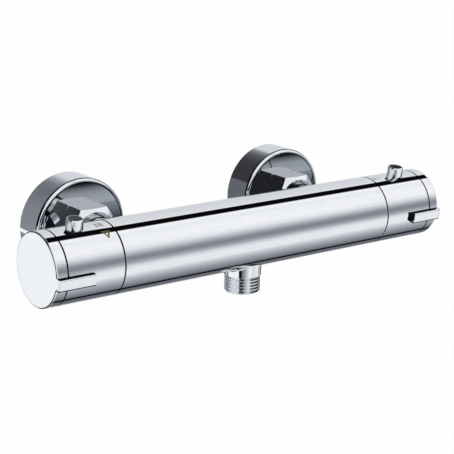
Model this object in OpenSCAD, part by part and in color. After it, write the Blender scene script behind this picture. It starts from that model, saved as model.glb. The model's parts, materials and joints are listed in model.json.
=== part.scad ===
// Thermostatic bar mixer for a shower, carried on the wall by two offset unions.
// Sizes are in millimetres. +X runs to the user's right, +Y into the wall, +Z up.
// The origin lies on the wall plane, midway between the two wall threads.
// Hot water comes in on the left, where the handle sets the temperature.
// Cold water comes in on the right, where the handle sets the flow.

/* [Bar] */
// Diameter of the bar, shared by the casting, the handles and the end caps
bar_d = 41.2; // [41:0.1:42.4]
// Distance between the hot and the cold inlet
inlet_pitch = 150; // [146:1:158]
// Distance from an inlet to the end of the casting
inlet_to_end = 20; // [19.6:0.2:22]
// Wall of the casting's outer shell
shell_wall = 3; // [2.4:0.1:3.2]
// Gap between the casting and a handle, and between a handle and its end cap
seam_gap = 0.4; // [0.2:0.1:0.8]
// Distance from the wall to the axis of the bar
wall_to_axis = 74; // [73:0.5:84]
// Height of the wall threads above the axis of the bar
union_offset = 7.5; // [5:0.5:8]

/* [Handles] */
// Length of a handle's sleeve
sleeve_l = 34.9; // [34.5:0.1:40]
// Wall of a handle's sleeve
sleeve_wall = 2.2; // [1.8:0.1:2.3]
// Width of the end cap's visible ring
cap_w = 6.8; // [5.5:0.1:10]
// Radius on the rim of the end cap
cap_rim_r = 0.8; // [0.4:0.1:1.2]
// Length of the lever along the bar
lever_l = 22.3; // [18:0.1:26]
// Width of the lever's front face
lever_w = 6.6; // [5:0.1:8]
// Height of the lever's front face above the bar
lever_rise = 2.9; // [2:0.1:4]
// Angle of a handle at its stop, by which the button stands in front of the top
handle_turn = 7.5; // [0:0.5:10]

/* [Stop buttons] */
// Diameter of a stop button
button_d = 9.4; // [8.4:0.1:9.8]
// Height of a stop button above the bar
button_rise = 5.3; // [4.5:0.1:7]
// Travel of a stop button when it is pressed
button_travel = 2.6; // [2.4:0.1:2.7]
// Distance from the end of the casting to the axis of a stop button
button_from_seam = 21; // [20.7:0.1:21.3]

/* [Outlet] */
// Depth of the outlet's lower end below the axis of the bar
outlet_drop = 34.8; // [34:0.1:42]
// Length of the outlet's thread
outlet_thread_l = 10.2; // [9:0.1:11]
// Bore of the outlet
outlet_bore_d = 13; // [11:0.2:13.6]

/* [Inlets and unions] */
// Diameter of the casting's inlet bosses
boss_d = 24; // [23.4:0.2:27]
// Diameter of the neck that the union nut turns on
neck_d = 23; // [22:0.1:23.4]
// Reach of an inlet boss beyond the bar's surface
boss_reach = 10.4; // [9.4:0.1:11.4]
// Width across the flats of a union nut
nut_flats = 30; // [29.4:0.1:34]
// Length of a union nut
nut_l = 14.7; // [13.4:0.1:15.6]
// Diameter of a wall cover
cover_d = 59.2; // [54:0.2:70]
// Depth of a wall cover
cover_depth = 19; // [18.6:0.1:20]
// Wall of a wall cover
cover_wall = 1.6; // [1.2:0.1:2.4]
// Radius on the front rim of a wall cover
cover_rim_r = 2; // [1:0.1:3]
// Length of the wall thread behind the wall plane
wall_thread_l = 16; // [12:0.5:22]

/* [Hidden] */
$fn = 96;

// Colours of the finishes
chrome = "gainsboro";
brass = "darkgoldenrod";
steel = "lightsteelblue";
rubber = "dimgray";
ceramic = "ivory";
valve_plastic = "whitesmoke";
insert_plastic = "lightgray";

// How far a cut runs past the face that it opens
overrun = 1;
// How far one section of a spindle runs into the next
join_lap = 0.5;
// Radial clearance of a part that turns or slides in its bore
run_clear = 0.05;
// Radial clearance of a button in its hole and of a handle on its guide ring
slide_clear = 0.08;
// Clearance between parts that are put together and then stay
seat_clear = 0.1;
// Clearance between parts that pass each other without a fit
free_clear = 0.5;
// Small chamfer on turned edges
edge_chamfer = 0.3;
// Radial space that an O-ring leaves in its groove
oring_clear = 0.03;

// Standard pipe threads: half inch at the wall and the outlet, three quarter at the nut
half_thread_r = 20.955 / 2;
half_root_r = 18.631 / 2;
large_thread_r = 26.441 / 2;
large_root_r = 24.117 / 2;
thread_pitch = 1.814;
thread_crest_w = 0.5;

// Bar and casting
bar_r = bar_d / 2;
casting_end = inlet_pitch / 2 + inlet_to_end;
shell_r = bar_r - shell_wall;
water_r = 7;
gallery_r = 4;
gallery_wall = 1.6;
tube_bore_r = 6.5;
tube_wall = 2;

// Thermostat, placed by its depth behind the casting's end face
nut_thread_l = 9;
cartridge_r = 14;
cartridge_bore_r = cartridge_r + run_clear;
cartridge_wall = 2.8;
cartridge_in_r = cartridge_r - cartridge_wall;
flange_step = 1.4;
flange_r = cartridge_r + flange_step;
nut_step = 0.6;
nut_thread_r = flange_r + nut_step;
flange_t = 2;
head_plug_l = 5;
nose_r = 7.8;
nose_bore_r = 5.2;
nose_l = 10;
floor_t = 2;
port_w = 5;
cold_port_w = 3.2;
partition_t = 4;
cold_way_share = 0.325;
cold_way_count = 8;
cold_room_l = 2;
ring_gap = 1.4;
window_ring_count = 4;
window_ring_w = 9;
land_side = 0.7;
nut_inner = casting_end - nut_thread_l;
flange_inner = nut_inner - flange_t;
head_inner = flange_inner - head_plug_l;
thermostat_l = 28;
sleeve_inner = flange_inner - thermostat_l;
nose_inner = sleeve_inner - nose_l;
nose_bore_outer_r = nose_r + seat_clear;
tube_r = nose_bore_outer_r + tube_wall;
chamber_inner = sleeve_inner - cold_room_l;
annulus_left = chamber_inner - partition_t;
cold_way_place_r = (nose_bore_outer_r + cartridge_bore_r) / 2;
cold_way_r = (cartridge_bore_r - nose_bore_outer_r) * cold_way_share;

// O-rings
oring_section = 1.4;
small_oring_section = 1.1;
groove_w = 2;
small_groove_w = 1.5;
land_w = groove_w + land_side * 2;
outer_groove_x = flange_inner - land_w / 2;
nose_groove_from_end = 4.5;
nose_groove_x = nose_inner + nose_groove_from_end;
spindle_groove_from_seam = 4;
spindle_groove_x = casting_end + spindle_groove_from_seam;

// Thermostat head, spindle and set-point screw
neck_r = 8;
collar_l = 7.5;
neck_l = 21;
neck_flat_depth = 0.7;
head_wall = 2.6;
collar_wall = 1.9;
cavity_r = cartridge_in_r - head_wall;
collar_r = cavity_r + collar_wall;
cavity_l = 13;
spindle_r = 4;
spline_r = 3.9;
spline_count = 16;
spline_groove_r = 0.35;
spline_from_seam = 14;
barrel_r = 6;
barrel_l = 9.7;
barrel_bore_l = 8;
stud_r = 3.5;
stud_l = 8;
cup_wall = 1.3;
cup_l = 8;
cup_lip_t = 1.2;
cup_floor_t = 1;
cup_hole_share = 0.48;
key_w = 3;
key_rise = 1.4;
neck_outer = nut_inner + neck_l;
collar_outer = nut_inner + collar_l;
cavity_outer = head_inner + cavity_l;
spline_inner = casting_end + spline_from_seam;
barrel_outer = cavity_outer - free_clear / 2;
barrel_inner = barrel_outer - barrel_l;
set_travel_cold = 1;
cup_outer = barrel_inner - free_clear - set_travel_cold;
cup_inner = cup_outer - cup_l;
cup_clear = 0.3;
cup_r = cavity_r - cup_clear;
cup_hole_r = cup_r * cup_hole_share;
plate_t = 1.2;
plate_outer = cup_inner + cup_lip_t + seat_clear + plate_t;

// Wax element and piston
stroke = 0.5;
pin_r = 1.5;
pin_l = 6.8;
guide_r = 3;
guide_l = 6.8;
wax_flange_gap = 1.4;
wax_flange_t = 2.5;
bulb_share = 0.6;
bulb_l = 10.5;
piston_cold_l = 3.8;
piston_port_l = 7;
piston_hot_l = 6.1;
piston_port_share = 1.076;
piston_wall = 1.4;
piston_web_t = 2;
piston_hole_r = 1.8;
piston_port_count = 4;
pin_outer = plate_outer - plate_t;
pin_inner = pin_outer - pin_l;
guide_gap = 1.25;
guide_outer = cup_inner - guide_gap;
guide_inner = guide_outer - guide_l;
wax_flange_inner = guide_inner - wax_flange_t;
piston_r = cartridge_in_r - run_clear;
piston_in_r = piston_r - piston_wall;
piston_port_w = piston_r * piston_port_share;
piston_port_inner = guide_inner - piston_web_t / 2;
piston_port_outer = piston_port_inner + piston_port_l;
piston_inner = piston_port_inner - piston_cold_l;
piston_outer = piston_port_outer + piston_hot_l;
sleeve_floor = sleeve_inner + floor_t;
middle_groove_from_port = 3;
middle_groove_x = piston_port_inner + middle_groove_from_port;
cold_window_x = piston_port_inner + stroke - cold_port_w / 2;
hot_window_x = piston_port_outer - stroke + port_w / 2;

// Springs
return_wire = 1.2;
return_gap = 1.15;
return_mean_r = piston_in_r - return_gap - return_wire / 2;
wax_flange_r = return_mean_r - return_wire / 2 - wax_flange_gap;
bulb_r = wax_flange_r * bulb_share;
return_turns = 3.5;
overtravel_wire = 1.3;
overtravel_share = 0.627;
overtravel_mean_r = cup_r * overtravel_share;
overtravel_turns = 2.2;
button_wire = 0.5;
button_spring_r = 2.9;
button_turns = 3.5;
check_wire = 0.5;
check_spring_r = 3.2;
check_turns = 5;
coil_sides = 6;
coil_steps = 14;

// Retaining nut and stop rings
hex_head_flats = 27;
hex_head_l = 5;
stop_gap = 0.3;
stop_disc_t = 3.7;
stop_hub_r = 10;
tooth_reach = 5;
tooth_angle = 4;
tooth_play_angle = 0.4;
stop_disc_inner = casting_end + hex_head_l + stop_gap;
stop_disc_outer = stop_disc_inner + stop_disc_t;

// Handle: hub, web and end cap
sleeve_in_r = bar_r - sleeve_wall;
handle_inner = casting_end + seam_gap;
handle_outer = handle_inner + sleeve_l;
cap_inner = handle_outer + seam_gap;
cap_outer = cap_inner + cap_w;
insert_r = 7.5;
hub_r = 12;
hub_l = 11.5;
web_share = 0.385;
spigot_share = 0.51;
web_gap = 1.5;
web_clear = 0.9;
button_flange_r = 5.6;
button_x = casting_end + button_from_seam;
web_inner = button_x + button_flange_r + web_clear;
web_room = handle_outer - web_inner;
web_outer = web_inner + web_room * web_share;
spindle_outer = web_inner - web_gap;
hub_inner = web_inner - hub_l;
insert_inner = hub_inner - web_gap;
key_slot_w = 2.2;
key_slot_rise = 1;
screw_r = 1.95;
screw_grip_l = 9;
screw_hole_l = 10;
screw_head_r = 4;
screw_head_l = 2.6;
screw_hex_flats = 2.5;
screw_hex_depth = 1.5;
cap_spigot_l = web_room * spigot_share;
cap_spigot_wall = 1.8;
cap_floor_t = 3;
cap_step = 1.1;
cap_inner_r = sleeve_in_r - seat_clear - cap_spigot_wall - cap_step;
lever_edge_r = 0.7;
lever_end_r = 1.4;
lever_lift = 0.1;

// Stop button: cap, flange, foot and stem
button_r = button_d / 2;
button_top = bar_r + button_rise;
button_chamfer = 0.5;
flange_gap = 0.3;
button_flange_t = 1.3;
button_flange_top = sqrt(pow(sleeve_in_r, 2) - pow(button_flange_r, 2)) - flange_gap;
button_flange_low = button_flange_top - button_flange_t;
foot_w = 1.8;
tooth_in_r = button_flange_top - button_travel + free_clear;
tooth_out_r = button_flange_top - flange_gap;
tooth_start_angle = asin(foot_w / 2 / button_flange_low) + tooth_play_angle;
eco_angle = 45;
foot_reach = 9.8;
stem_r = 1.8;
stem_low = insert_r + button_travel + free_clear;
spring_seat = 11.3;
spring_pocket_r = 3.7;

// Flow headwork
headwork_bore_r = 12.8;
headwork_tube_wall = 2.4;
headwork_tube_r = headwork_bore_r + headwork_tube_wall;
seat_from_end = 37;
seat_x = casting_end - seat_from_end;
end_ring_l = 7;
seat_wall_t = 3;
housing_r = 10.8;
housing_wall = 1.4;
housing_in_r = housing_r - housing_wall;
housing_tube_l = 19.5;
housing_land_l = 6;
disc_clear = 0.2;
disc_r = housing_in_r - disc_clear;
seal_t = 2;
seal_in_r = 6.6;
fixed_disc_t = 3;
moving_disc_t = 3.4;
lap_gap = 0.05;
disc_port_in_r = 2.6;
disc_port_out_r = 7.8;
disc_port_angle = 76;
tongue_w = 3;
tongue_l = 10;
tongue_t = 1.4;
driver_t = 2;
driver_r = 8.8;
thrust_r = 6.5;
thrust_t = 3;
window_r = 2.2;
window_count = 4;
headwork_cavity_l = 18.5;
clip_from_neck = 0.4;
clip_t = 0.8;
clip_r = 5.6;
clip_groove_depth = 0.7;
clip_gap_w = 4;
housing_inner = seat_x + free_clear;
housing_land_inner = housing_inner + housing_tube_l;
land_groove_x = housing_land_inner + housing_land_l / 2;
clip_x = neck_outer + clip_from_neck + clip_t / 2;
fixed_inner = seat_x + seal_t;
moving_inner = fixed_inner + fixed_disc_t + lap_gap;
driver_inner = moving_inner + moving_disc_t + lap_gap;
headwork_cavity_outer = seat_x + headwork_cavity_l;
annulus_right = casting_end - end_ring_l;
gallery_z = tube_bore_r + tube_wall + gallery_r;
driver_outer = driver_inner + driver_t;
thrust_outer = headwork_cavity_outer - run_clear;
thrust_inner = thrust_outer - thrust_t;
land_r = headwork_bore_r - run_clear;

// Outlet
outlet_collar_r = half_thread_r + 0.4;
outlet_collar_end = outlet_drop - outlet_thread_l;
outlet_shank_r = 9;
outlet_seat_z = 14;
outlet_groove_z = -(shell_r + bar_r) / 2;
outlet_boss_wall = 2.5;
outlet_hex_flats = 12;
outlet_hex_l = 8;
thread_chamfer = 0.8;

// Inlets, check valves and unions, placed by their distance from the bar's axis
boss_r = boss_d / 2;
neck_out_r = neck_d / 2;
boss_end = bar_r + boss_reach;
cover_front = wall_to_axis - cover_depth;
nut_front = cover_front - nut_l;
union_engage = 4;
union_face = cover_front - union_engage;
washer_t = 2;
washer_in_r = 8.4;
washer_front = union_face - washer_t;
collar_t = 3;
nipple_collar_r = 12.7;
nipple_collar_front = washer_front - collar_t;
shank_r = 8.5;
shank_l = 8.6;
shank_bore_r = 6.4;
valve_r = 8.25;
valve_pocket_r = valve_r + run_clear;
valve_l = 13.6;
valve_wall = 1.6;
valve_seat_t = 2.3;
valve_seat_r = 4.4;
valve_guide_t = 1.8;
valve_hub_r = 2.4;
valve_rib_w = 1.4;
valve_rib_count = 3;
poppet_r = 5.6;
poppet_t = 1.6;
poppet_stem_r = 1.1;
poppet_tail = 1.2;
inlet_groove_from_end = 2;
inlet_groove_y = boss_end - inlet_groove_from_end;
valve_front = washer_front - valve_l;
poppet_back = washer_front - valve_seat_t - run_clear;
strainer_t = 0.5;
strainer_hole_r = 0.75;
strainer_row_gap = 2.8;
strainer_rows = 2;
union_bore_r = 8;
union_thread_l = 12;
union_body_l = 7;
union_body_spare = 0.2;
union_body_r = (large_thread_r + half_thread_r + union_offset) / 2 + union_body_spare;
union_body_z = union_body_r - union_body_spare - large_thread_r;
union_body_front = union_face + union_thread_l;
union_body_back = union_body_front + union_body_l;
bore_overlap = 1.5;
bore_meeting_y = (union_body_front + union_body_back + bore_overlap) / 2;
cover_hole_r = large_thread_r + seat_clear * 2;
cover_collar_l = 4;
cover_collar_wall = 1.8;
nut_hole_r = neck_out_r + seat_clear;
nut_face_share = 0.88;
nut_front_chamfer = 2.2;
nut_back_chamfer = 0.6;

// Radius that reaches the corners of a hexagon
function hex_r(flats) = flats / 2 / cos(30);

// Puts a shape drawn around the bar's axis in its place in front of the wall
module on_bar() {
    translate([0, -wall_to_axis, -union_offset]) children();
}

// Mirrors a shape drawn for the right end to the left end
module at_left() {
    on_bar() mirror([1, 0, 0]) children();
}

// Puts a handle's shape in its place, turned to its stop: -1 is the left end, 1 the right
module at_handle(side) {
    on_bar() mirror([side < 0 ? 1 : 0, 0, 0]) rotate([handle_turn, 0, 0]) children();
}

// Rods from one place to another along an axis
module rod_x(from, to, r) {
    translate([from, 0, 0]) rotate([0, 90, 0]) cylinder(h = to - from, r = r);
}

module rod_y(from, to, r) {
    translate([0, from, 0]) rotate([-90, 0, 0]) cylinder(h = to - from, r = r);
}

module rod_z(from, to, r) {
    translate([0, 0, from]) cylinder(h = to - from, r = r);
}

// Ring along X
module ring_x(from, to, r_out, r_in) {
    difference() {
        rod_x(from, to, r_out);
        rod_x(from - overrun, to + overrun, r_in);
    }
}

// Rod along X with a chamfer on both ends
module chamfered_rod_x(from, to, r, chamfer) {
    rod_x(from + chamfer, to - chamfer, r);
    translate([from, 0, 0]) rotate([0, 90, 0]) cylinder(h = chamfer, r1 = r - chamfer, r2 = r);
    translate([to - chamfer, 0, 0]) rotate([0, 90, 0]) cylinder(h = chamfer, r1 = r, r2 = r - chamfer);
}

// Square groove around a rod along X
module groove_x(at, w, r_out, r_in) {
    ring_x(at - w / 2, at + w / 2, r_out + overrun, r_in);
}

// O-ring around X between a groove's floor and the bore that it seals
module oring_x(at, r_floor, r_bore) {
    section_r = (r_bore - r_floor) / 2 - oring_clear;
    translate([at, 0, 0]) rotate([0, 90, 0]) rotate_extrude()
        translate([(r_bore + r_floor) / 2, 0]) circle(r = section_r, $fn = 24);
}

// Hexagonal bar along X
module hex_x(from, to, flats) {
    translate([from, 0, 0]) rotate([0, 90, 0]) cylinder(h = to - from, r = hex_r(flats), $fn = 6);
}

// Round rod along +Z with the ridges of a pipe thread and a chamfered end
module pipe_thread(crest_r, root_r, l) {
    half_gap = (thread_pitch - thread_crest_w) / 2;
    half_open = half_gap * (crest_r + overrun - root_r) / (crest_r - root_r);
    difference() {
        cylinder(h = l, r = crest_r);
        for (i = [0 : floor(l / thread_pitch) - 1])
            translate([0, 0, (i + 0.5) * thread_pitch]) rotate_extrude()
                polygon([[root_r, 0], [crest_r + overrun, -half_open], [crest_r + overrun, half_open]]);
        translate([0, 0, l]) rotate_extrude()
            polygon([
                [crest_r - thread_chamfer, 0],
                [crest_r + overrun, -thread_chamfer - overrun],
                [crest_r + overrun, 0]
            ]);
    }
}

// Helical spring along +Z, one unbroken wire of a few flat sides
module coil_spring(wire, mean_r, l, turns) {
    steps = ceil(turns * coil_steps);
    rise = (l - wire) / steps;
    points = [for (i = [0 : steps]) for (k = [0 : coil_sides - 1])
        let (a = 360 * turns * i / steps, b = 360 * k / coil_sides, r = mean_r + wire / 2 * cos(b))
        [r * cos(a), r * sin(a), wire / 2 + rise * i + wire / 2 * sin(b)]];
    sides = [for (i = [0 : steps - 1]) for (k = [0 : coil_sides - 1]) for (half = [0, 1])
        let (a = i * coil_sides + k, b = i * coil_sides + (k + 1) % coil_sides)
        half == 0 ? [a, b, b + coil_sides] : [a, b + coil_sides, a + coil_sides]];
    first = [[for (k = [0 : coil_sides - 1]) coil_sides - 1 - k]];
    last = [[for (k = [0 : coil_sides - 1]) steps * coil_sides + k]];
    polyhedron(points = points, faces = concat(sides, first, last));
}

// Outline of the splined spindle end, or of the hole that takes it
module spline_outline(spare) {
    difference() {
        circle(r = spline_r + spare);
        for (i = [0 : spline_count - 1])
            rotate(360 * i / spline_count) translate([spline_r + spline_groove_r / 2, 0])
                circle(r = spline_groove_r * 2 - spare, $fn = 24);
    }
}

// Rectangle from the origin with one rounded corner, the far one
module corner_rounded(w, h, r) {
    square([w - r, h]);
    square([w, h - r]);
    translate([w - r, h - r]) circle(r = r);
}

// Casting with its shell, inlet bosses, inner tubes and water ways
module body_casting() {
    color(chrome) on_bar() difference() {
        union() {
            difference() {
                union() {
                    chamfered_rod_x(-casting_end, casting_end, bar_r, edge_chamfer);
                    for (side = [-1, 1])
                        translate([side * inlet_pitch / 2, 0, 0]) rod_y(0, boss_end, boss_r);
                    rod_z(-outlet_collar_end, 0, outlet_collar_r);
                }
                rod_x(-annulus_left, annulus_right, shell_r);
            }
            rod_x(-annulus_left - overrun, seat_x, tube_r);
            rod_x(seat_x - seat_wall_t, casting_end - overrun, headwork_tube_r);
            translate([0, 0, -gallery_z])
                rod_x(-outlet_shank_r, seat_x + water_r, gallery_r + gallery_wall);
            rod_z(-shell_r - overrun, -tube_bore_r, outlet_shank_r + outlet_boss_wall);
        }
        thermostat_bores();
        headwork_bores();
        inlet_bores();
        outlet_bores();
    }
}

// Bores for the thermostat, the nose tube and the cold ways through the partition
module thermostat_bores() {
    rod_x(-casting_end - overrun, -flange_inner, nut_thread_r);
    rod_x(-casting_end, -chamber_inner, cartridge_bore_r);
    rod_x(-casting_end, -nose_inner, nose_bore_outer_r);
    rod_x(-nose_inner - overrun, seat_x + overrun, tube_bore_r);
    for (i = [0 : cold_way_count - 1])
        rotate([360 * (i + 0.5) / cold_way_count, 0, 0]) translate([0, 0, cold_way_place_r])
            rod_x(-chamber_inner - overrun, -annulus_left + overrun, cold_way_r);
}

// Bore for the flow headwork and the gallery back to the outlet
module headwork_bores() {
    rod_x(seat_x, casting_end + overrun, headwork_bore_r);
    translate([0, 0, -gallery_z]) rod_x(0, seat_x + water_r - gallery_wall, gallery_r);
}

// Water ways and nipple threads in the two inlet bosses
module inlet_bores() {
    translate([-inlet_pitch / 2, 0, 0]) rod_y(cartridge_bore_r - gallery_wall, boss_end, water_r);
    translate([inlet_pitch / 2, 0, 0]) rod_y(headwork_tube_r + edge_chamfer, boss_end, water_r);
    for (side = [-1, 1])
        translate([side * inlet_pitch / 2, 0, 0])
            rod_y(boss_end - shank_l - seat_clear, boss_end + overrun, shank_r + run_clear);
}

// Way down from the gallery and the seat of the outlet nipple
module outlet_bores() {
    rod_z(-bar_r - overrun, -gallery_z, water_r);
    rod_z(-outlet_collar_end - overrun, seat_clear - outlet_seat_z, outlet_shank_r + run_clear);
}

// Turns a shape drawn along X so that it runs along Z
module x_to_z() {
    rotate([0, -90, 0]) children();
}

// Nipple screwed into the casting from below, with the thread for the shower hose
module outlet_nipple() {
    color(chrome) on_bar() difference() {
        union() {
            rod_z(-outlet_collar_end, -outlet_seat_z, outlet_shank_r);
            translate([0, 0, -outlet_collar_end]) rotate([180, 0, 0])
                pipe_thread(half_thread_r, half_root_r, outlet_thread_l);
        }
        rod_z(-outlet_drop - overrun, overrun - outlet_seat_z, outlet_bore_d / 2);
        translate([0, 0, -outlet_drop - overrun])
            cylinder(h = outlet_hex_l + overrun, r = hex_r(outlet_hex_flats), $fn = 6);
        x_to_z() groove_x(outlet_groove_z, small_groove_w, outlet_shank_r,
                          outlet_shank_r - small_oring_section);
    }
}

// O-ring on the nipple's shank
module outlet_oring() {
    color(rubber) on_bar() x_to_z()
        oring_x(outlet_groove_z, outlet_shank_r - small_oring_section, outlet_shank_r + run_clear);
}

// Puts a shape drawn around the Y axis at an inlet: -1 is the hot one, 1 the cold one
module at_inlet(side) {
    on_bar() translate([side * inlet_pitch / 2, 0, 0]) children();
}

// Turns a shape drawn along X so that it runs along Y
module x_to_y() {
    rotate([0, 0, 90]) children();
}

// Nipple in the inlet boss, with the pocket for the check valve and the collar for the nut
module inlet_nipple(side) {
    color(chrome) at_inlet(side) difference() {
        union() {
            rod_y(boss_end - shank_l, boss_end, shank_r);
            rod_y(boss_end, nipple_collar_front, neck_out_r);
            rod_y(nipple_collar_front, washer_front, nipple_collar_r);
        }
        rod_y(boss_end - shank_l - overrun, washer_front, shank_bore_r);
        rod_y(valve_front - seat_clear, washer_front + overrun, valve_pocket_r);
        x_to_y() groove_x(inlet_groove_y, small_groove_w, shank_r, shank_r - small_oring_section);
    }
}

// O-rings on the shanks of the two inlet nipples
module inlet_orings() {
    color(rubber) for (side = [-1, 1])
        at_inlet(side) x_to_y()
            oring_x(inlet_groove_y, shank_r - small_oring_section, shank_r + run_clear);
}

// Check valve: housing with its seat towards the wall and a guide for the poppet's stem
module check_valve_housing(side) {
    color(valve_plastic) at_inlet(side) {
        difference() {
            rod_y(valve_front, washer_front, valve_r);
            rod_y(valve_front - overrun, washer_front - valve_seat_t, valve_r - valve_wall);
            rod_y(valve_front, washer_front + overrun, valve_seat_r);
        }
        difference() {
            union() {
                rod_y(valve_front, valve_front + valve_guide_t, valve_hub_r);
                for (i = [0 : valve_rib_count - 1])
                    rotate([0, 360 * i / valve_rib_count, 0])
                        translate([0, valve_front, -valve_rib_w / 2])
                            cube([valve_r - valve_wall / 2, valve_guide_t, valve_rib_w]);
            }
            rod_y(valve_front - overrun, valve_front + valve_guide_t + overrun,
                  poppet_stem_r + run_clear);
        }
    }
}

// Poppet that the spring holds against the seat
module check_valve_poppet(side) {
    color(valve_plastic) at_inlet(side) {
        rod_y(poppet_back - poppet_t, poppet_back, poppet_r);
        rod_y(valve_front - poppet_tail, poppet_back - poppet_t, poppet_stem_r);
    }
}

// Spring between the guide and the poppet
module check_valve_spring(side) {
    from = valve_front + valve_guide_t + run_clear;
    color(steel) at_inlet(side) translate([0, from, 0]) rotate([-90, 0, 0])
        coil_spring(check_wire, check_spring_r, poppet_back - poppet_t - run_clear - from, check_turns);
}

// Perforated disc in the washer
module strainer(side) {
    color(steel) at_inlet(side) difference() {
        rod_y(washer_front, washer_front + strainer_t, washer_in_r - seat_clear);
        for (row = [0 : strainer_rows])
            for (i = [0 : max(6 * row, 1) - 1])
                rotate([0, 60 * i / max(row, 1), 0]) translate([row * strainer_row_gap, 0, 0])
                    rod_y(washer_front - overrun, washer_front + strainer_t + overrun,
                          strainer_hole_r);
    }
}

// Flat sealing washer between the nipple and the offset union
module union_washer(side) {
    color(rubber) at_inlet(side) difference() {
        rod_y(washer_front, union_face, nipple_collar_r);
        rod_y(washer_front - overrun, union_face + overrun, washer_in_r);
    }
}

// Hexagonal union nut, chamfered on both ends, captive behind the nipple's collar
module union_nut(side) {
    corner_r = hex_r(nut_flats);
    face_r = nut_flats / 2 * nut_face_share;
    color(chrome) at_inlet(side) difference() {
        intersection() {
            translate([0, nut_front, 0]) rotate([-90, 0, 0]) cylinder(h = nut_l, r = corner_r, $fn = 6);
            union() {
                translate([0, nut_front, 0]) rotate([-90, 0, 0])
                    cylinder(h = nut_front_chamfer, r1 = face_r, r2 = corner_r);
                rod_y(nut_front + nut_front_chamfer, cover_front - nut_back_chamfer, corner_r);
                translate([0, cover_front - nut_back_chamfer, 0]) rotate([-90, 0, 0])
                    cylinder(h = nut_back_chamfer, r1 = corner_r, r2 = corner_r - nut_back_chamfer * 2);
            }
        }
        rod_y(nut_front - overrun, nipple_collar_front, nut_hole_r);
        rod_y(nipple_collar_front, cover_front + overrun, large_thread_r + run_clear);
    }
}

// Offset union: thread for the nut, round body, and the wall thread on its own axis
module offset_union(side) {
    color(brass) at_inlet(side) difference() {
        union() {
            translate([0, union_body_front, 0]) rotate([90, 0, 0])
                pipe_thread(large_thread_r, large_root_r, union_thread_l);
            translate([0, 0, union_body_z]) rod_y(union_body_front, union_body_back, union_body_r);
            translate([0, union_body_back, union_offset]) rotate([-90, 0, 0])
                pipe_thread(half_thread_r, half_root_r, wall_to_axis + wall_thread_l - union_body_back);
        }
        rod_y(union_face - overrun, bore_meeting_y, union_bore_r);
        translate([0, 0, union_offset])
            rod_y(bore_meeting_y - bore_overlap, wall_to_axis + wall_thread_l + overrun, union_bore_r);
    }
}

// Cup-shaped wall cover, open towards the wall, with a collar around the union's thread
module wall_cover(side) {
    cover_r = cover_d / 2;
    inner_l = cover_depth - cover_wall;
    color(chrome) at_inlet(side) translate([0, wall_to_axis, 0]) rotate([90, 0, 0]) difference() {
        union() {
            difference() {
                rotate_extrude() corner_rounded(cover_r, cover_depth, cover_rim_r);
                translate([0, 0, -overrun]) cylinder(h = inner_l + overrun, r = cover_r - cover_wall);
            }
            translate([0, 0, inner_l - cover_collar_l])
                cylinder(h = cover_collar_l + cover_wall / 2, r = cover_hole_r + cover_collar_wall);
        }
        cylinder(h = cover_depth + overrun, r = cover_hole_r);
    }
}

// Ring of windows through the thermostat sleeve's wall
module windows(at, w) {
    for (i = [0 : window_ring_count - 1])
        rotate([360 * i / window_ring_count, 0, 0])
            translate([at - w / 2, -window_ring_w / 2, cartridge_in_r - overrun])
                cube([w, window_ring_w, cartridge_wall + overrun * 2]);
}

// Lower half of the thermostat: hot and cold windows, and the nose that gives mixed water
module thermostat_sleeve() {
    color(brass) at_left() difference() {
        union() {
            rod_x(sleeve_inner, flange_inner, cartridge_r - ring_gap);
            for (at = [middle_groove_x, outer_groove_x])
                rod_x(at - land_w / 2, at + land_w / 2, cartridge_r);
            rod_x(nose_inner, sleeve_inner, nose_r);
        }
        rod_x(nose_inner - overrun, sleeve_floor + overrun, nose_bore_r);
        rod_x(sleeve_floor, flange_inner + overrun, cartridge_in_r);
        windows(hot_window_x, port_w);
        windows(cold_window_x, cold_port_w);
        for (at = [middle_groove_x, outer_groove_x])
            groove_x(at, groove_w, cartridge_r, cartridge_r - oring_section);
        groove_x(nose_groove_x, groove_w, nose_r, nose_r - oring_section);
    }
}

// O-rings around the thermostat sleeve and its nose
module thermostat_orings() {
    color(rubber) at_left() {
        for (at = [middle_groove_x, outer_groove_x])
            oring_x(at, cartridge_r - oring_section, cartridge_bore_r);
        oring_x(nose_groove_x, nose_r - oring_section, nose_bore_outer_r);
    }
}

// Two flats that keep a stop ring from turning on a neck
module flat_neck(from, to, spare) {
    intersection() {
        rod_x(from, to, neck_r + spare);
        translate([from, -neck_r * 2, -neck_r + neck_flat_depth - spare])
            cube([to - from, neck_r * 4, (neck_r - neck_flat_depth + spare) * 2]);
    }
}

// Upper half of the thermostat: plug, flange, collar and the neck for the spindle
module thermostat_head() {
    slot_outer = cup_outer + set_travel_cold + free_clear;
    color(brass) at_left() difference() {
        union() {
            rod_x(head_inner, flange_inner, cartridge_in_r - run_clear);
            rod_x(flange_inner, nut_inner, flange_r);
            rod_x(nut_inner, collar_outer, collar_r);
            rod_x(collar_outer, stop_disc_inner, neck_r);
            flat_neck(stop_disc_inner, neck_outer, 0);
        }
        rod_x(head_inner - overrun, cavity_outer, cavity_r);
        rod_x(head_inner, neck_outer + overrun, spindle_r + run_clear);
        translate([head_inner - overrun, 0, -key_w / 2 - run_clear])
            translate([0, -cup_r - key_rise - run_clear, 0])
                cube([slot_outer - head_inner + overrun, (cup_r + key_rise + run_clear) * 2,
                      key_w + run_clear * 2]);
    }
}

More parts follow.
